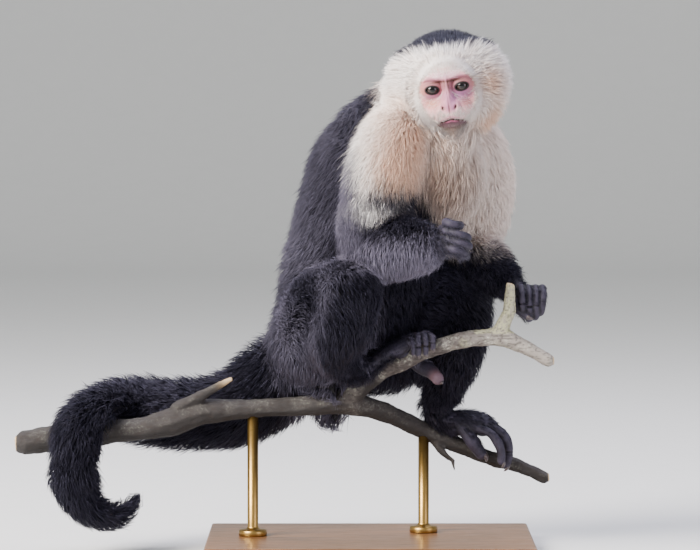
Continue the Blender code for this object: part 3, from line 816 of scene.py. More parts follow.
# The coat by where it grows: how many tufts under and over, how thick, how high they stand.
COAT_PIECES = {
    "coat_mantle": (("neck", "chest"), 22000, 10000, 0.57, 0.88),
    "coat_near_arm": (("upper_arm_right",), 17000, 9500, 0.5, 0.86),
    "coat_far_arm": (("upper_arm_left",), 9000, 5000, 0.56, 0.9),
    "coat_back": (("abdomen",), 14000, 8000, 0.75, 1.0),
    "coat_forearms": (("forearm",), 12000, 6000, 0.6, 1.3),
    "coat_thighs": (("thigh",), 12000, 7500, 0.75, 1.0),
    "coat_shanks": (("shank",), 8000, 4500, 0.65, 1.0),
    "coat_tail": (("tail",), 18000, 10800, 0.66, 0.85),
}
BLACK_PIECES = ("coat_back", "coat_forearms", "coat_thighs", "coat_shanks", "coat_tail")


class Tufts:
    """One layer of tufts on a part of the skin: how many, how thick, and how they stand."""

    def __init__(self, skin, where, count, thick, pull=0.4, stand=1.0, shorten=1.0, segments=2):
        self.skin, self.segments = skin, segments
        self.count = int(count / FEWER)
        self.thick = thick * math.sqrt(FEWER)
        self.choose_roots(skin.areas * where[skin.corners].mean(1))
        self.choose_habits(stand, shorten)
        self.lay_spines(pull)
        self.build()

    def choose_roots(self, weight):
        """Spread the roots evenly over the chosen part of the skin."""
        skin = self.skin
        total = np.cumsum(weight)
        marks = (np.arange(self.count) + RANDOM.random(self.count)) * total[-1] / self.count
        self.triangle = np.minimum(np.searchsorted(total, marks), len(weight) - 1)
        spread, split = np.sqrt(RANDOM.random(self.count)), RANDOM.random(self.count)
        self.shares = np.stack((1 - spread, spread * (1 - split), spread * split), axis=1)
        self.roots = self.at_roots(skin.points)
        self.near = skin.corners[self.triangle, self.shares.argmax(1)]

    def at_roots(self, values):
        """A value of the skin's vertices, at each root."""
        shares = self.shares if values.ndim == 1 else self.shares[..., None]
        return (values[self.skin.corners[self.triangle]] * shares).sum(1)

    def choose_habits(self, stand, shorten):
        """Give each lock of the coat, and each tuft in it, a habit of its own."""
        leaders = RANDOM.permutation(self.count)[:math.ceil(self.count / LOCK)]
        self.leader = leaders[nearest(tree_of(self.roots[leaders]), self.roots)]
        lock = RANDOM.normal(size=(self.count, 4))[self.leader]
        own = RANDOM.normal(size=(self.count, 4))
        self.turn = np.radians(TURN * (0.7 * lock[:, 0] + own[:, 0]))
        self.length = self.at_roots(self.skin.length) * shorten * np.clip(
            1 + 0.06 * lock[:, 1] + 0.14 * own[:, 1], 0.55, 1.5)
        stray = 1 + 0.3 * (RANDOM.random(self.count) < 0.07)
        self.height = self.at_roots(self.skin.depth) * stand * stray * np.clip(
            1 + 0.04 * lock[:, 2] + 0.12 * own[:, 2], 0.4, 1.4)
        self.height = np.minimum(self.height, 0.93 * self.length)
        self.shade = np.clip(0.5 + 0.1 * lock[:, 3] + 0.16 * own[:, 3], 0, 1)

    def lay_spines(self, pull):
        """Lead each tuft over the skin along the lie, rising from root to tip."""
        skin = self.skin
        way = self.at_roots(skin.lie)
        across = np.cross(self.at_roots(skin.normals), way)
        way = unit(way * np.cos(self.turn)[:, None] + across * np.sin(self.turn)[:, None])
        step = np.sqrt(np.maximum(self.length ** 2 - self.height ** 2, 1)) / self.segments
        surface = self.roots
        self.spine = [self.roots - self.at_roots(skin.normals) * 0.5]
        for segment in range(1, self.segments + 1):
            reached = surface + way * step[:, None]
            near = nearest(skin.tree, reached)
            normal = skin.normals[near]
            surface = reached - normal * ((reached - skin.points[near]) * normal).sum(1)[:, None]
            rise = 1 - (1 - segment / self.segments) ** 1.5
            self.spine.append(surface + normal * (self.height * rise)[:, None])
            ahead = unit(0.5 * way + 0.5 * skin.lie[near])
            way = unit(ahead - normal * (ahead * normal).sum(1)[:, None])
        for segment in range(1, self.segments + 1):
            drawn = pull * (segment / self.segments) ** 1.5
            place = self.spine[segment]
            self.spine[segment] = place + drawn * (place[self.leader] - place)

    def build(self):
        """Make the tufts one mesh: three-sided, and tapering to a point."""
        first, tip = self.spine[0], self.spine[-1]
        along = unit(tip - first)
        side = unit(np.cross(along, unit(RANDOM.normal(size=first.shape))))
        other = np.cross(along, side)
        thick = self.thick * np.clip(1 + 0.25 * RANDOM.normal(size=self.count), 0.5, 1.6)
        corners, done = [], []
        for segment in range(self.segments):
            radius = thick * (1 - 0.25 * segment / self.segments) / 2
            for angle in (0, THIRD_TURN, 2 * THIRD_TURN):
                offset = side * math.cos(angle) + other * math.sin(angle)
                corners.append(self.spine[segment] + offset * radius[:, None])
                done.append(segment / self.segments)
        corners.append(tip)
        done.append(1.0)
        starts = len(corners) * np.arange(self.count)[:, None, None]
        self.points = np.stack(corners, axis=1).reshape(-1, 3) * MM
        self.triangles = (np.array(self.faces()) + starts).reshape(-1, 3)
        spots = (self.skin.unwrapped[self.triangle] * self.shares[..., None]).sum(1)
        # Round its root's place on the unwrap, each vertex has a place of its own.
        slide = np.array([((index % 3) / 3 - 0.33, part - 0.5) for index, part in enumerate(done)])
        self.places = np.clip((spots[:, None] + PATCH * slide[None]).reshape(-1, 2), 0, 1)
        self.marks = self.read_marks(done)

    def faces(self):
        """One tuft's triangles: a closed root, sides in rings of three, and a point."""
        faces = [(0, 2, 1)]
        for ring in range(0, 3 * (self.segments - 1), 3):
            for one in range(3):
                two = (one + 1) % 3
                faces += [(ring + one, ring + two, ring + 3 + two),
                          (ring + one, ring + 3 + two, ring + 3 + one)]
        tip = 3 * self.segments
        return [*faces, (tip - 3, tip - 2, tip), (tip - 2, tip - 1, tip), (tip - 1, tip - 3, tip)]

    def read_marks(self, done):
        """The markings at each vertex, from those at the tuft's root."""
        region = self.skin.region[self.near]
        # Neighbouring hairs differ a little, so that no marking ends in a hard line.
        mixed = self.roots + RANDOM.normal(size=self.roots.shape) * mix_at(region)
        at_root = {"pale": pale_at(mixed, region), "tan": tan_at(mixed, region),
                   "painted_sheen": self.at_roots(self.skin.painted_sheen), "shade": self.shade}
        marks = {"along": np.tile(done, self.count)}
        marks.update({name: np.repeat(values, len(done)) for name, values in at_root.items()})
        return marks


def coat(name, *layers):
    """One mesh of several layers of tufts, with the markings of the skin that they grow from."""
    starts = np.cumsum([0] + [len(layer.points) for layer in layers])
    triangles = np.concatenate([layer.triangles + start for layer, start in zip(layers, starts)])
    mesh = mesh_of(name, np.concatenate([layer.points for layer in layers]), triangles)
    places = np.concatenate([layer.places for layer in layers])
    mesh.uv_layers.new(name="OFBake").data.foreach_set("uv", places[triangles.ravel()].ravel())
    for mark in layers[0].marks:
        put(mesh, mark, np.concatenate([layer.marks[mark] for layer in layers]))
    piece = bpy.data.objects.new(name, mesh)
    bpy.context.collection.objects.link(piece)
    return piece


def deep_coat(name, skin, where, under, over, thick, stand):
    """A dense straight undercoat with longer, curved guard hairs over it."""
    return coat(name,
                Tufts(skin, where, under, 1.15 * thick, pull=0.12, stand=0.8 * stand, shorten=0.82,
                      segments=1),
                Tufts(skin, where, over, thick, pull=0.2, stand=1.08 * stand, shorten=1.08))


def put(mesh, name, values):
    """Keep a value at each vertex of a mesh, for its material."""
    layer = mesh.attributes.new(name, "FLOAT", "POINT")
    layer.data.foreach_set("value", np.asarray(values, np.float32))


def mesh_of(name, points, triangles):
    """A mesh straight from its vertices and triangles."""
    mesh = bpy.data.meshes.new(name)
    mesh.vertices.add(len(points))
    mesh.vertices.foreach_set("co", points.ravel())
    mesh.loops.add(triangles.size)
    mesh.loops.foreach_set("vertex_index", triangles.ravel())
    mesh.polygons.add(len(triangles))
    mesh.polygons.foreach_set("loop_start", np.arange(0, triangles.size, 3))
    mesh.update(calc_edges=True)
    return mesh


def zone(skin, *starts):
    """1 at the vertices of the named regions, 0 elsewhere."""
    return sum(np.char.startswith(skin.region, start) for start in starts).astype(float)


def grow_coat(skin):
    """The whole coat, in pieces by where it grows."""
    on_left = in_head(skin.points)[:, 0] >= 0
    ruff = zone(skin, "head") * smoothstep(0.92, 0.4, skin.share)
    fuzz = zone(skin, "head") * smoothstep(0.0, 0.3, skin.share) * (1 - bare_at(skin.points))
    fuzz = fuzz * (0.45 + 0.55 * smoothstep(0.98, 0.5, skin.share))
    pieces = [
        deep_coat("coat_ruff_left", skin, ruff * on_left, 16000, 8500, 0.5, 1.25),
        deep_coat("coat_ruff_right", skin, ruff * ~on_left, 16000, 8500, 0.5, 1.25),
        coat("coat_face", Tufts(skin, fuzz, 20000, 0.24, pull=0.2, stand=1.8, shorten=0.35,
                                segments=1)),
        coat("coat_ears", Tufts(skin, zone(skin, "ear"), 1500, 0.5, stand=3.0)),
    ]
    for name, (starts, *habit) in COAT_PIECES.items():
        pieces.append(deep_coat(name, skin, zone(skin, *starts), *habit))
    pieces.append(coat("coat_hands_and_feet", Tufts(skin, hairy_at(skin), 11000, 0.45, segments=1)))
    return pieces


def bare_at(points):
    """How bare the face is: 1 round the eyes and on the nose and lips."""
    across, _, up = in_head(points).T
    side = np.abs(across)

    def oval(x, z, wide, tall, far=1.3, near=0.8):
        """1 inside an oval about a place, 0 outside it."""
        return smoothstep(far, near, np.hypot(x / wide, z / tall))

    eyes = oval(side - EYE_AT.x, up - EYE_AT.z - 1.5, 12.5, 10.5, 1.25, 0.75)
    nose = oval(across, up + 7, 4 + 0.3 * np.clip(3 - up, 0, 20), 13, 1.2)
    lips = oval(across, up - mouth_line(across) + 0.3, 17, 2.5 + 0.9 * ridge(across, 8), 1.25, 0.9)
    cheeks = 0.92 * oval(side - 14, up + 8, 12, 11, 1.3, 0.5)
    temples = 0.7 * oval(side - 22, up - 1, 6, 7, 1.4, 0.6)
    brow = 0.65 * bump(across, up - 13, 20, 4.5)
    bridge = oval(across, up - 5, 11, 6)
    return np.max((eyes, nose, lips, cheeks, temples, brow, bridge, 0.85 * beard_at(points)), axis=0)


def up_the_limb(points, region):
    """On hands and feet: 0 at the knuckles and beyond, 1 at the wrist or ankle."""
    share = np.zeros(len(points))
    for name, wrist in WRISTS.items():
        knuckle = np.array(DIGITS[name][1][0][0])
        way = np.array(wrist) - knuckle
        share = np.where(region == name, (points - knuckle) @ way / (way @ way), share)
    return np.clip(share, 0, 1.4)


def hairy_at(skin):
    """How hairy a hand or foot is: on its back up to the knuckles, and all round at its root."""
    hairy = np.zeros(len(skin.points))
    for name, away in (("hand_right", (0.0, -1, 0.1)), ("hand_left", (0.3, -0.2, 1)),
                       ("foot_right", (-0.1, -0.6, 1)), ("foot_left", (0.4, 0, 1))):
        worn = skin.region == name
        root, *_, tip = [np.array(place) for place in DIGITS[name][1][0]]
        done = (skin.points - root) @ unit(tip - root) / np.linalg.norm(tip - root)
        facing = skin.normals @ unit(np.array(away, float))
        hairy = np.where(worn, smoothstep(0.0, 0.5, facing) * smoothstep(0.7, 0.0, done), hairy)
    return np.maximum(hairy, smoothstep(0.35, 0.75, skin.up_limb) * zone(skin, *HANDS_AND_FEET))


# ---------------------------------------------------------------- materials


def to_linear(colour):
    """A colour written as sRGB hex, as the linear values that shaders take."""
    parts = [int(colour[start:start + 2], 16) / 255 for start in (1, 3, 5)]
    return (*(part / 12.92 if part <= 0.04045 else ((part + 0.055) / 1.055) ** 2.4
              for part in parts), 1)


class Finish:
    """A material and its nodes. Colours are sRGB hex, and a mark is named as the mesh has it."""

    def __init__(self, name):
        self.material = bpy.data.materials.new(name)
        self.material.use_nodes = True
        self.tree = self.material.node_tree

    def add(self, kind, *values, out=None, **named):
        """Add a node, and give its output. Values go into its live inputs, in their order.

        A named value is an input if its name has a capital, and otherwise a setting.
        """
        node = self.tree.nodes.new("ShaderNode" + kind)
        for name, value in named.items():
            if name.islower():
                setattr(node, name, value)
        live = [socket for socket in node.inputs if socket.enabled]
        for socket, value in zip(live, values):
            self.feed(socket, value)
        self.fill(node, named)
        return node.outputs[out] if out else next(one for one in node.outputs if one.enabled)

    def feed(self, socket, value):
        """Give an input a value, a colour, a mark or another node's output."""
        if isinstance(value, str) and value.startswith("#"):
            value = to_linear(value)
        elif isinstance(value, str):
            value = self.add("Attribute", out="Fac", attribute_name=value)
        if isinstance(value, bpy.types.NodeSocket):
            self.tree.links.new(value, socket)
        else:
            socket.default_value = value

    def fill(self, node, named):
        for name, value in named.items():
            if not name.islower():
                self.feed(node.inputs[name.replace("_", " ")], value)

    def pattern(self, size, detail=3.0, stretch=(1, 1, 1), rough=0.55):
        """Patches about the given millimetres across, on the piece's own coordinates."""
        where = self.add("VectorMath", self.add("TexCoord", out="Object"),
                         [part / MM for part in stretch], operation="MULTIPLY")
        return self.add("TexNoise", where, 1 / size, detail, rough)

    def layered(self, colour, *layers):
        """Lay colours over a first one, each as strongly as its share says."""
        for share, top in layers:
            colour = self.add("Mix", share, colour, top, data_type="RGBA")
        return colour

    def finish(self, **inputs):
        self.fill(self.tree.nodes["Principled BSDF"], inputs)
        return self.material


def coat_material():
    """Hair: glossy black with a cool sheen, partly painted on as silvery tips, or soft cream that warms
    to tan.
    """
    hair = Finish("capuchin_hair")
    add = hair.add
    # Painted sheen: the tips of black hair are painted silvery where light catches them.
    painted_sheen_tips = add("Math", "painted_sheen", add("MapRange", "along", 0.1, 0.9), operation="MULTIPLY")
    # Each hair is darker at its root than at its tip: partly its own colour, partly painted shade deep
    # in the coat.
    black = hair.layered("#050406", ("shade", "#121014"),
                         (add("MapRange", "along", 0.4, 1.0, 0, 0.3), "#1C191F"),
                         (painted_sheen_tips, "#A69FB4"))
    cream = hair.layered("#EFE0D4", (add("MapRange", "along", 0.0, 0.6), "#FFFCF9"))
    warm = hair.layered("#CF9E80", (add("MapRange", "along", 0.0, 1.0), "#F5D0B6"))
    pale = hair.layered(cream, ("tan", warm),
                        (add("MapRange", "shade", 0.0, 1.0, 0.2, 0.0), "#B9A08E"))
    return hair.finish(Base_Color=hair.layered(black, ("pale", pale)),
                       Roughness=add("MapRange", "pale", 0, 1, 0.4, 0.65),
                       Specular_IOR_Level=0.36,
                       Specular_Tint=hair.layered("#C4C2F0", ("pale", "#FFFFFF")),
                       Sheen_Weight=0.04, Sheen_Roughness=0.4, Sheen_Tint="#BEBEE6")


def skin_material():
    """Living skin: pink and mauve on the face, dark violet-grey on hands and feet, with painted shade
    in folds and hollows and on the face's shaded side, and a painted highlight on the knuckles.
    """
    skin = Finish("capuchin_skin")
    add = skin.add
    # Real pores are finer. They are drawn at half a millimetre, so that they show.
    pores = skin.pattern(0.5, 2)
    blotch = skin.pattern(6, 3)
    under = skin.layered("#100D10", ("pale", "#E8D2C4"))
    # The brown, mauve, crease and rim marks are partly painted shade: on the face's shaded side, in its
    # folds, and in the nostrils and mouth.
    face = skin.layered("#DC969E", (add("MapRange", blotch, 0.35, 0.65), "#C6838C"),
                        ("flush", "#B4765A"), ("brown_and_painted_shade", "#9C6468"), ("mauve_and_painted_shade", "#98648C"),
                        ("beard", "#48343A"), ("lip", "#BE5E84"), ("crease", "#5A3A30"),
                        ("lid_rim_and_painted_shade", "#120C0C"))
    dark = skin.layered("#17141C", (add("MapRange", blotch, 0.3, 0.7), "#2B2734"),
                        (add("MapRange", pores, 0.35, 0.6, 0.0, 0.5), "#17141A"),
                        # Painted highlight on the bulging knuckles, and painted shade in the hollows
                        # between the digits.
                        (add("MapRange", "ridge", 0, 1, 0, 0.35), "#524B5E"),
                        (add("MapRange", "crease", 0, 1, 0, 0.85), "#0A080C"),
                        ("pad", "#946E73"))
    folds = add("Math", pores, skin.pattern(1.6, 4, rough=0.7), operation="ADD")
    return skin.finish(Base_Color=skin.layered(under, ("bare", face), ("dark", dark)),
                       Roughness=add("MapRange", pores, 0.3, 0.7, 0.55, 0.75),
                       Normal=add("Bump", Height=folds, Distance=0.16 * MM, Strength=0.8),
                       Specular_IOR_Level=0.28, Subsurface_Weight=0.04,
                       Subsurface_Radius=(0.0025, 0.001, 0.0006), Subsurface_Scale=1.0)


def eye_material():
    """A wet eye: black pupil, dark brown iris and a darker ring round it."""
    eye = Finish("wet_eye")
    add = eye.add
    # The iris's streaks are drawn at half a millimetre, as coarse as they have to be to show.
    iris = eye.layered("#1A100C", (eye.pattern(0.5, 3), "#30211A"))
    colour = eye.layered("#040304", (add("MapRange", "ring", 0.36, 0.46), iris),
                         (add("MapRange", "ring", 0.86, 1.0), "#0C0808"),
                         (add("MapRange", "ring", 1.05, 1.5), "#2B1E1C"))
    return eye.finish(Base_Color=colour, Roughness=0.15, Specular_IOR_Level=0.3,
                      Coat_Weight=0.3, Coat_Roughness=0.02)


def nail_material():
    """Horn: dark grey-brown nails, mottled as they grow."""
    nail = Finish("horn_nail")
    mottle = nail.add("MapRange", nail.pattern(1.2, 2), 0.3, 0.7)
    return nail.finish(Base_Color=nail.layered("#2F282A", (mottle, "#5C5150")), Roughness=0.35)


def bark_material():
    """Grey-brown bark with pale lichen, darker in its furrows, with painted light and shade along the
    branch; fresh wood where it broke.
    """
    bark = Finish("lichened_bark")
    add = bark.add
    # Furrows and crusts are about 2 mm wide, and colonies of lichen about 16 mm.
    grain = bark.pattern(2.2, 5, (0.3, 1, 1), 0.65)
    spread = bark.pattern(16, 4)
    crust = bark.pattern(2.2, 5, rough=0.75)
    lichen = add("Math", add("MapRange", crust, 0.52, 0.6), add("MapRange", spread, 0.45, 0.6),
                 operation="MULTIPLY")
    moss = add("Math", "mossy", add("MapRange", crust, 0.4, 0.55), operation="MULTIPLY")
    # The upper fork's light and the dark of the main length, the lower fork and the undersides are
    # painted light and shade.
    colour = bark.layered("#2A2422", (add("MapRange", grain, 0.3, 0.7), "#645B56"),
                          (add("MapRange", spread, 0.42, 0.62, 0, 0.6), "#878079"),
                          ("light", "#ACA398"), (lichen, "#C2C2B0"), (moss, "#B8B590"),
                          ("painted_branch_shade", "#1E1A18"),
                          (add("MapRange", "furrow", 0, 1, 0, 0.7), "#241B16"),
                          ("wood", "#D2B48A"))
    relief = add("Math", grain, crust, operation="ADD")
    return bark.finish(Base_Color=colour, Roughness=0.85,
                       Normal=add("Bump", Height=relief, Distance=0.5 * MM, Strength=0.8))


def oak_material():
    """Stained oak under satin varnish, its grain running along the base."""
    oak = Finish("varnished_oak")
    add = oak.add
    # A flat-sawn board's rings lie about 7 mm apart. Its pores are drawn wider than life, to show.
    rings = oak.pattern(7, 4, (0.06, 1, 1), 0.6)
    pores = oak.pattern(0.9, 3, (0.05, 1, 1), 0.6)
    colour = oak.layered("#5A3A22", (add("MapRange", rings, 0.3, 0.7), "#8E6238"),
                         (add("MapRange", pores, 0.56, 0.66, 0, 0.75), "#33200F"))
    return oak.finish(Base_Color=colour, Roughness=add("MapRange", pores, 0.4, 0.7, 0.32, 0.5),
                      Normal=add("Bump", Height=pores, Distance=0.08 * MM, Strength=0.5),
                      Coat_Weight=0.25, Coat_Roughness=0.2)


def brass_material():
    """Brushed dark brass, with fine turning marks round the rods."""
    brass = Finish("brushed_brass")
    add = brass.add
    # The brush's marks are finer than they are drawn, so that they show.
    marks = brass.pattern(0.5, 2, (0.15, 0.15, 4))
    return brass.finish(Base_Color=brass.layered("#8C6E3A", (brass.pattern(12, 3), "#B08E50")),
                        Metallic=1.0, Roughness=add("MapRange", marks, 0.3, 0.7, 0.26, 0.42),
                        Normal=add("Bump", Height=marks, Distance=0.03 * MM, Strength=0.5))


def paper_material():
    """The plain pale studio floor and backdrop."""
    paper = Finish("studio_paper")
    return paper.finish(Base_Color=paper.layered("#DAD9D5", (paper.pattern(40, 2), "#DEDDD9")),
                        Roughness=0.9)


# ---------------------------------------------------------------- pieces


def to_metres(piece):
    """Scale a piece that was made in millimetres."""
    piece.data.transform(Matrix.Scale(MM, 4))
    return piece


def smooth_shaded(mesh):
    """Shade every face smoothly."""
    mesh.polygons.foreach_set("use_smooth", np.ones(len(mesh.polygons), bool))


def dress(piece, material, slot, *nodes):
    """Give a piece its material and smooth shading, attach it to the root, and hide the CAD nodes that
    it stands for.
    """
    piece.data.materials.clear()
    piece.data.materials.append(material)
    smooth_shaded(piece.data)
    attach(piece, "root")
    if nodes:
        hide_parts(*nodes)
    return piece


def face_marks(points, share):
    """The strength of each marking of the face, at points of the skin."""
    across, _, up = in_head(points).T
    side = np.abs(across)
    out, rise = side - EYE_AT.x, up - EYE_AT.z
    from_mouth = up - mouth_line(across)
    nostril = nostril_at(side, up)
    marks = {name: hills(side, up, places) for name, places in MARKS_ON_BOTH_SIDES.items()}
    for name, places in MARKS_ON_ONE_SIDE.items():
        marks[name] = marks.get(name, 0) + hills(across, up, places)
    closed = ridge(from_mouth, 0.9) * smoothstep(MOUTH_HALF + 1.5, MOUTH_HALF - 1.5, side)
    # Painted shade in the fold under the brow, in the nostrils and along the closed mouth.
    marks["crease"] += 0.9 * bump(side - 7, up - brow_line(side), 10, 1.35) + nostril + closed
    # Darker, browner skin lies round the eyes and between them, partly as painted shade in the sockets;
    # painted shade darkens the cheek on the shaded side.
    marks["brown_and_painted_shade"] += 0.8 * ridge(np.hypot(out, rise) - 5, 5.5)
    lids = smoothstep(1.15, 0.88, np.hypot(out / 6.9, (rise - 0.06 * out) / 4.5))
    # The lids' rims are dark skin; the same black is painted shade in the nostrils and along the closed
    # mouth.
    marks["lid_rim_and_painted_shade"] = np.max((lids, 0.85 * closed, 0.7 * nostril ** 2), axis=0)
    marks["lip"] = 0.85 * ridge(from_mouth + 1.3, 1.0) * smoothstep(7, 2, side)
    marks["lip"] += 0.3 * ridge(from_mouth - 1, 0.9) * smoothstep(12, 6, side)
    marks["beard"] = 0.95 * beard_at(points)
    marks["bare"] = smoothstep(0.0, 0.5, share) * (0.6 + 0.4 * bare_at(points))
    return marks


def mark_skin(skin):
    """Keep the skin's markings at its vertices: on the face, and on hands and feet."""
    mesh, points = skin.piece.data, skin.points
    on_face = skin.share > 0
    extremity = np.isin(skin.region, HANDS_AND_FEET).astype(float)
    # On hands and feet painted shade darkens the hollows between the digits, and a painted highlight
    # makes their bulging backs palest.
    hollow = ((soften(skin.edges, points, 5) - points) * skin.normals).sum(1) * extremity
    marks = face_marks(points, skin.share)
    crease = np.where(on_face, marks.pop("crease"), smoothstep(0.02, 0.3, hollow))
    toe_tip = DIGITS["foot_right"][4][0][-1]
    for name, values in marks.items():
        put(mesh, name, np.clip(values, 0, 1) * on_face)
    for name, values in (("pale", skin.pale), ("tan", skin.tan), ("crease", crease)):
        put(mesh, name, np.clip(values, 0, 1))
    put(mesh, "dark", extremity)
    # Painted highlight on the bulges of the hands and feet.
    put(mesh, "ridge", smoothstep(0.02, 0.25, -hollow))
    put(mesh, "pad", patches(points, [(toe_tip, 5.5, 1)]) * extremity)


def make_eyes():
    """Two eyeballs with a bulging cornea, looking ahead."""
    cornea_half, bulge = 5.2, 0.07
    gaze = Vector((0.02, -1, -0.02)).normalized()
    turn = gaze.to_track_quat("Z", "Y").to_matrix().to_4x4()
    eyes = []
    for name, side in (("left", 1), ("right", -1)):
        shape = bmesh.new()
        bmesh.ops.create_uvsphere(shape, u_segments=48, v_segments=40, radius=EYE_RADIUS)
        middle = HEAD_FRAME @ Vector((side * EYE_AT.x, EYE_AT.y, EYE_AT.z))
        rings = []
        for vertex in shape.verts:
            off_axis = math.hypot(vertex.co.x, vertex.co.y) / cornea_half
            ahead = vertex.co.z > 0
            if ahead and off_axis < 1:
                vertex.co *= 1 + bulge * (1 - off_axis ** 2)
            rings.append(off_axis if ahead else 2)
        bmesh.ops.transform(shape, matrix=Matrix.Translation(middle) @ turn, verts=shape.verts)
        eye = made("eyeball_" + name, shape)
        put(eye.data, "ring", rings)
        eyes.append(to_metres(eye))
    return eyes


def make_nails(name):
    """A curved nail on the back of each digit's tip."""
    shape = bmesh.new()
    curl, taper = 0.45, 0.45
    for digit, (places, _, thin) in enumerate(DIGITS[name]):
        line = [Vector(place) for place in places]
        tip, ahead = line[-1], (line[-1] - line[-2]).normalized()
        bent = sum(line[1:-1], Vector()) / (len(line) - 2) - (line[0] + line[-1]) / 2
        bent = Vector(NAIL_WAYS.get((name, digit), bent))
        back = (bent - ahead * bent.dot(ahead)).normalized()
        across = ahead.cross(back)
        turn = Matrix((across, ahead, back)).transposed().to_4x4()
        spot = tip + 0.55 * thin * (ahead + back)
        size = Matrix.Diagonal((thin * 0.62, thin * 1.15, thin * 0.42, 1))
        nail = bmesh.ops.create_uvsphere(shape, u_segments=16, v_segments=10, radius=1,
                                         matrix=Matrix.Translation(spot) @ turn @ size)
        for vertex in nail["verts"]:
            reach = max((vertex.co - spot).dot(ahead) / thin, 0)
            vertex.co -= back * curl * reach ** 2 * thin
            vertex.co -= across * (vertex.co - spot).dot(across) * taper * min(reach, 1)
    return to_metres(made("nails_" + name, shape))


PERCH = ("perch_main", "perch_upper_fork", "perch_lower_fork", "perch_snapped_twig",
         "perch_upright_stub", "perch_hanging_twig")
# Where fresh wood shows at a break: place, reach and strength.
BROKEN_ENDS = [((-128, -16, 161), 9, 0.8), ((128, -34, 248), 4, 0.8), ((76, -41, 187), 3, 0.8)]
STUB_AT = (124, -36, 222)


def make_perch():
    """The branch with its bark: knobs, furrows along the grain, and broken ends."""
    piece = remeshed(copy_nodes("branch", PERCH, swell=0.4), voxel=1.3, smoothing=5)
    mesh = piece.data
    points, normals = get_points(mesh), get_points(mesh, "normal")
    x, _, z = points.T
    stretched = points * (0.28, 1, 1)
    furrow = np.abs(wobble(stretched, 3.2, 1))
    knobs = wobble(points, 13, 4)
    fine = wobble(stretched, 1.4, 8)
    rise = 0.9 * knobs + 0.9 * np.minimum(furrow, 0.35) - 0.35 + 0.3 * fine
    set_points(mesh, points + normals * rise[:, None])
    cut_ends = smoothstep(-325.5, -327, x) + smoothstep(166.5, 168, x)
    put(mesh, "wood", np.clip(patches(points, BROKEN_ENDS) + cut_ends, 0, 1))
    put(mesh, "furrow", smoothstep(0.12, 0.0, furrow))
    # Painted shade darkens the main length, the lower fork and the undersides; painted light makes the
    # upper fork pale.
    on_lower = smoothstep(8, -8, z - 165 + 0.45 * x)
    painted_branch_shade = np.maximum(0.82 * on_lower * smoothstep(-30, 0, x), 0.86 * smoothstep(20, -45, x))
    put(mesh, "painted_branch_shade", np.clip(painted_branch_shade + 0.25 * smoothstep(0.2, -0.8, normals[:, 2]), 0, 1))
    on_stub = (np.linalg.norm(points - STUB_AT, axis=1) < 34) & (z > 203)
    put(mesh, "mossy", on_stub + 0.5 * smoothstep(0.3, 0.8, knobs) * (x > 60))
    # Painted light on the upper fork.
    put(mesh, "light", 0.75 * smoothstep(60, 140, x) * (z > 140))
    return to_metres(piece)


def turned(name, profile, place, sides=64):
    """Turn a profile of radius and height about an upright axis."""
    shape = bmesh.new()
    angles = [2 * math.pi * side / sides for side in range(sides)]
    close_rings(shape, [[shape.verts.new((place[0] + radius * math.cos(angle),
                                          place[1] + radius * math.sin(angle), height))
                         for angle in angles] for radius, height in profile])
    return to_metres(made(name, shape))


def make_rod(node):
    """A brass rod in a collar that is rounded at its edges, with a small fillet at its foot."""
    low, high = (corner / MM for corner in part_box(node))
    middle = (low + high) / 2
    collar = (high.x - low.x) / 2
    foot, rod = low.z, 5
    profile = [(collar - 0.3, foot), (collar, foot + 0.4), (collar, foot + 4.6),
               (collar - 1.2, foot + 5.8), (rod + 2.2, foot + 6.2), (rod + 0.7, foot + 7),
               (rod, foot + 8.6), (rod, high.z)]
    return turned(node + "_brass", profile, middle)


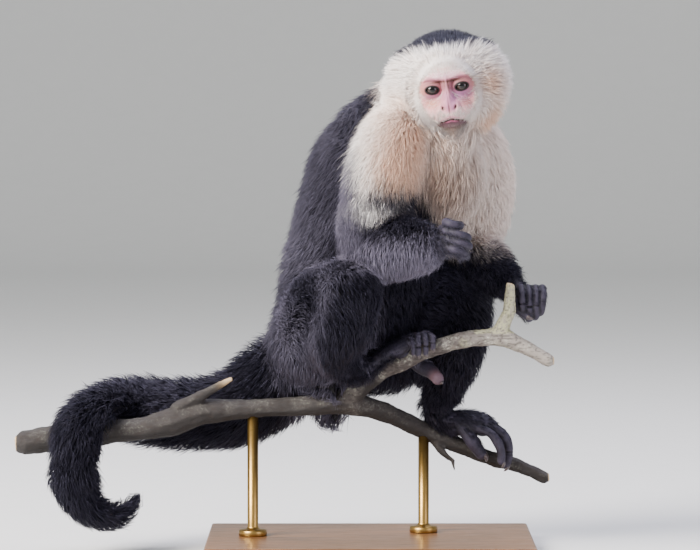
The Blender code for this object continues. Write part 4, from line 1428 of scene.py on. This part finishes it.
def make_stage():
    """A floor that sweeps up into a backdrop."""
    shape = bmesh.new()
    near, far, radius, high, half = -7.0, 6.0, 2.0, 9.0, 9.0
    line = [(near, 0.0), (far, 0.0)]
    line += [(far + radius * math.sin(turn), radius - radius * math.cos(turn))
             for turn in (math.pi / 2 * step / 12 for step in range(1, 13))]
    line.append((far + radius, high))
    rows = [[shape.verts.new((x, y, z)) for x in (-half, half)] for y, z in line]
    for row, following in zip(rows, rows[1:]):
        shape.faces.new((row[0], row[1], following[1], following[0]))
    stage = made("studio_floor", shape)
    smooth_shaded(stage.data)
    stage.data.materials.append(paper_material())
    stage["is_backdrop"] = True


def add_light(name, place, size, power, colour):
    """A round soft light that is aimed at the middle of the animal."""
    data = bpy.data.lights.new(name, "AREA")
    data.shape = "DISK"
    data.size, data.energy = size, power
    data.color = to_linear(colour)[:3]
    light = bpy.data.objects.new(name, data)
    light.location = place
    light.rotation_euler = (Vector((0, 0, 0.3)) - light.location).to_track_quat("-Z", "Y").to_euler()
    bpy.context.collection.objects.link(light)


def light_scene():
    """Soft daylight from a bright sky: above and to the left, with a weak fill."""
    add_light("sky_key", (-2.2, -1.7, 1.9), 1.8, 350, "#FFFAF6")
    add_light("sky_top", (0.2, 0.6, 2.4), 1.6, 70, "#E6E8FF")
    add_light("fill", (2.2, -1.8, 1.0), 1.6, 26, "#ECE6FF")
    world = bpy.data.worlds.new("pale_sky")
    world.use_nodes = True
    background = world.node_tree.nodes["Background"]
    background.inputs["Color"].default_value = to_linear("#E4E9F0")
    background.inputs["Strength"].default_value = 0.75
    bpy.context.scene.world = world


def add_camera():
    """A long lens from the front, a little above the branch."""
    target, distance, rise = Vector((-0.0184, 0, 0.2548)), 3.5, math.radians(2.5)
    camera = bpy.data.objects.new("camera", bpy.data.cameras.new("camera"))
    camera.location = target + distance * Vector((0, -math.cos(rise), math.sin(rise)))
    camera.rotation_euler = (target - camera.location).to_track_quat("-Z", "Y").to_euler()
    camera.data.sensor_width = 36
    camera.data.lens = 195.65
    bpy.context.collection.objects.link(camera)
    bpy.context.scene.camera = camera


def main():
    skin = Skin()
    mark_skin(skin)
    hair = coat_material()
    for piece in grow_coat(skin):
        dress(piece, hair, "coat_black" if piece.name in BLACK_PIECES else "coat_cream")
    dress(to_metres(skin.piece), skin_material(), "bare_skin", *FLESH)
    wet, horn = eye_material(), nail_material()
    for eye, node in zip(make_eyes(), ("eye_left", "eye_right")):
        dress(eye, wet, "eye", node)
    for name in HANDS_AND_FEET:
        dress(make_nails(name), horn, "dark_skin")
    dress(make_perch(), bark_material(), "bark", *PERCH)
    brass = brass_material()
    for node in ("stand_rod_left", "stand_rod_right"):
        dress(make_rod(node), brass, "stand_metal", node)
    # The base keeps its CAD solid, and gets its finish.
    base = NODES["stand_base"]
    base.data.materials.clear()
    base.data.materials.append(oak_material())
    make_stage()
    light_scene()
    add_camera()


main()
SEEN_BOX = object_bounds()
[[list(corner) for corner in box] for box in (CAD_BOX, SEEN_BOX)]
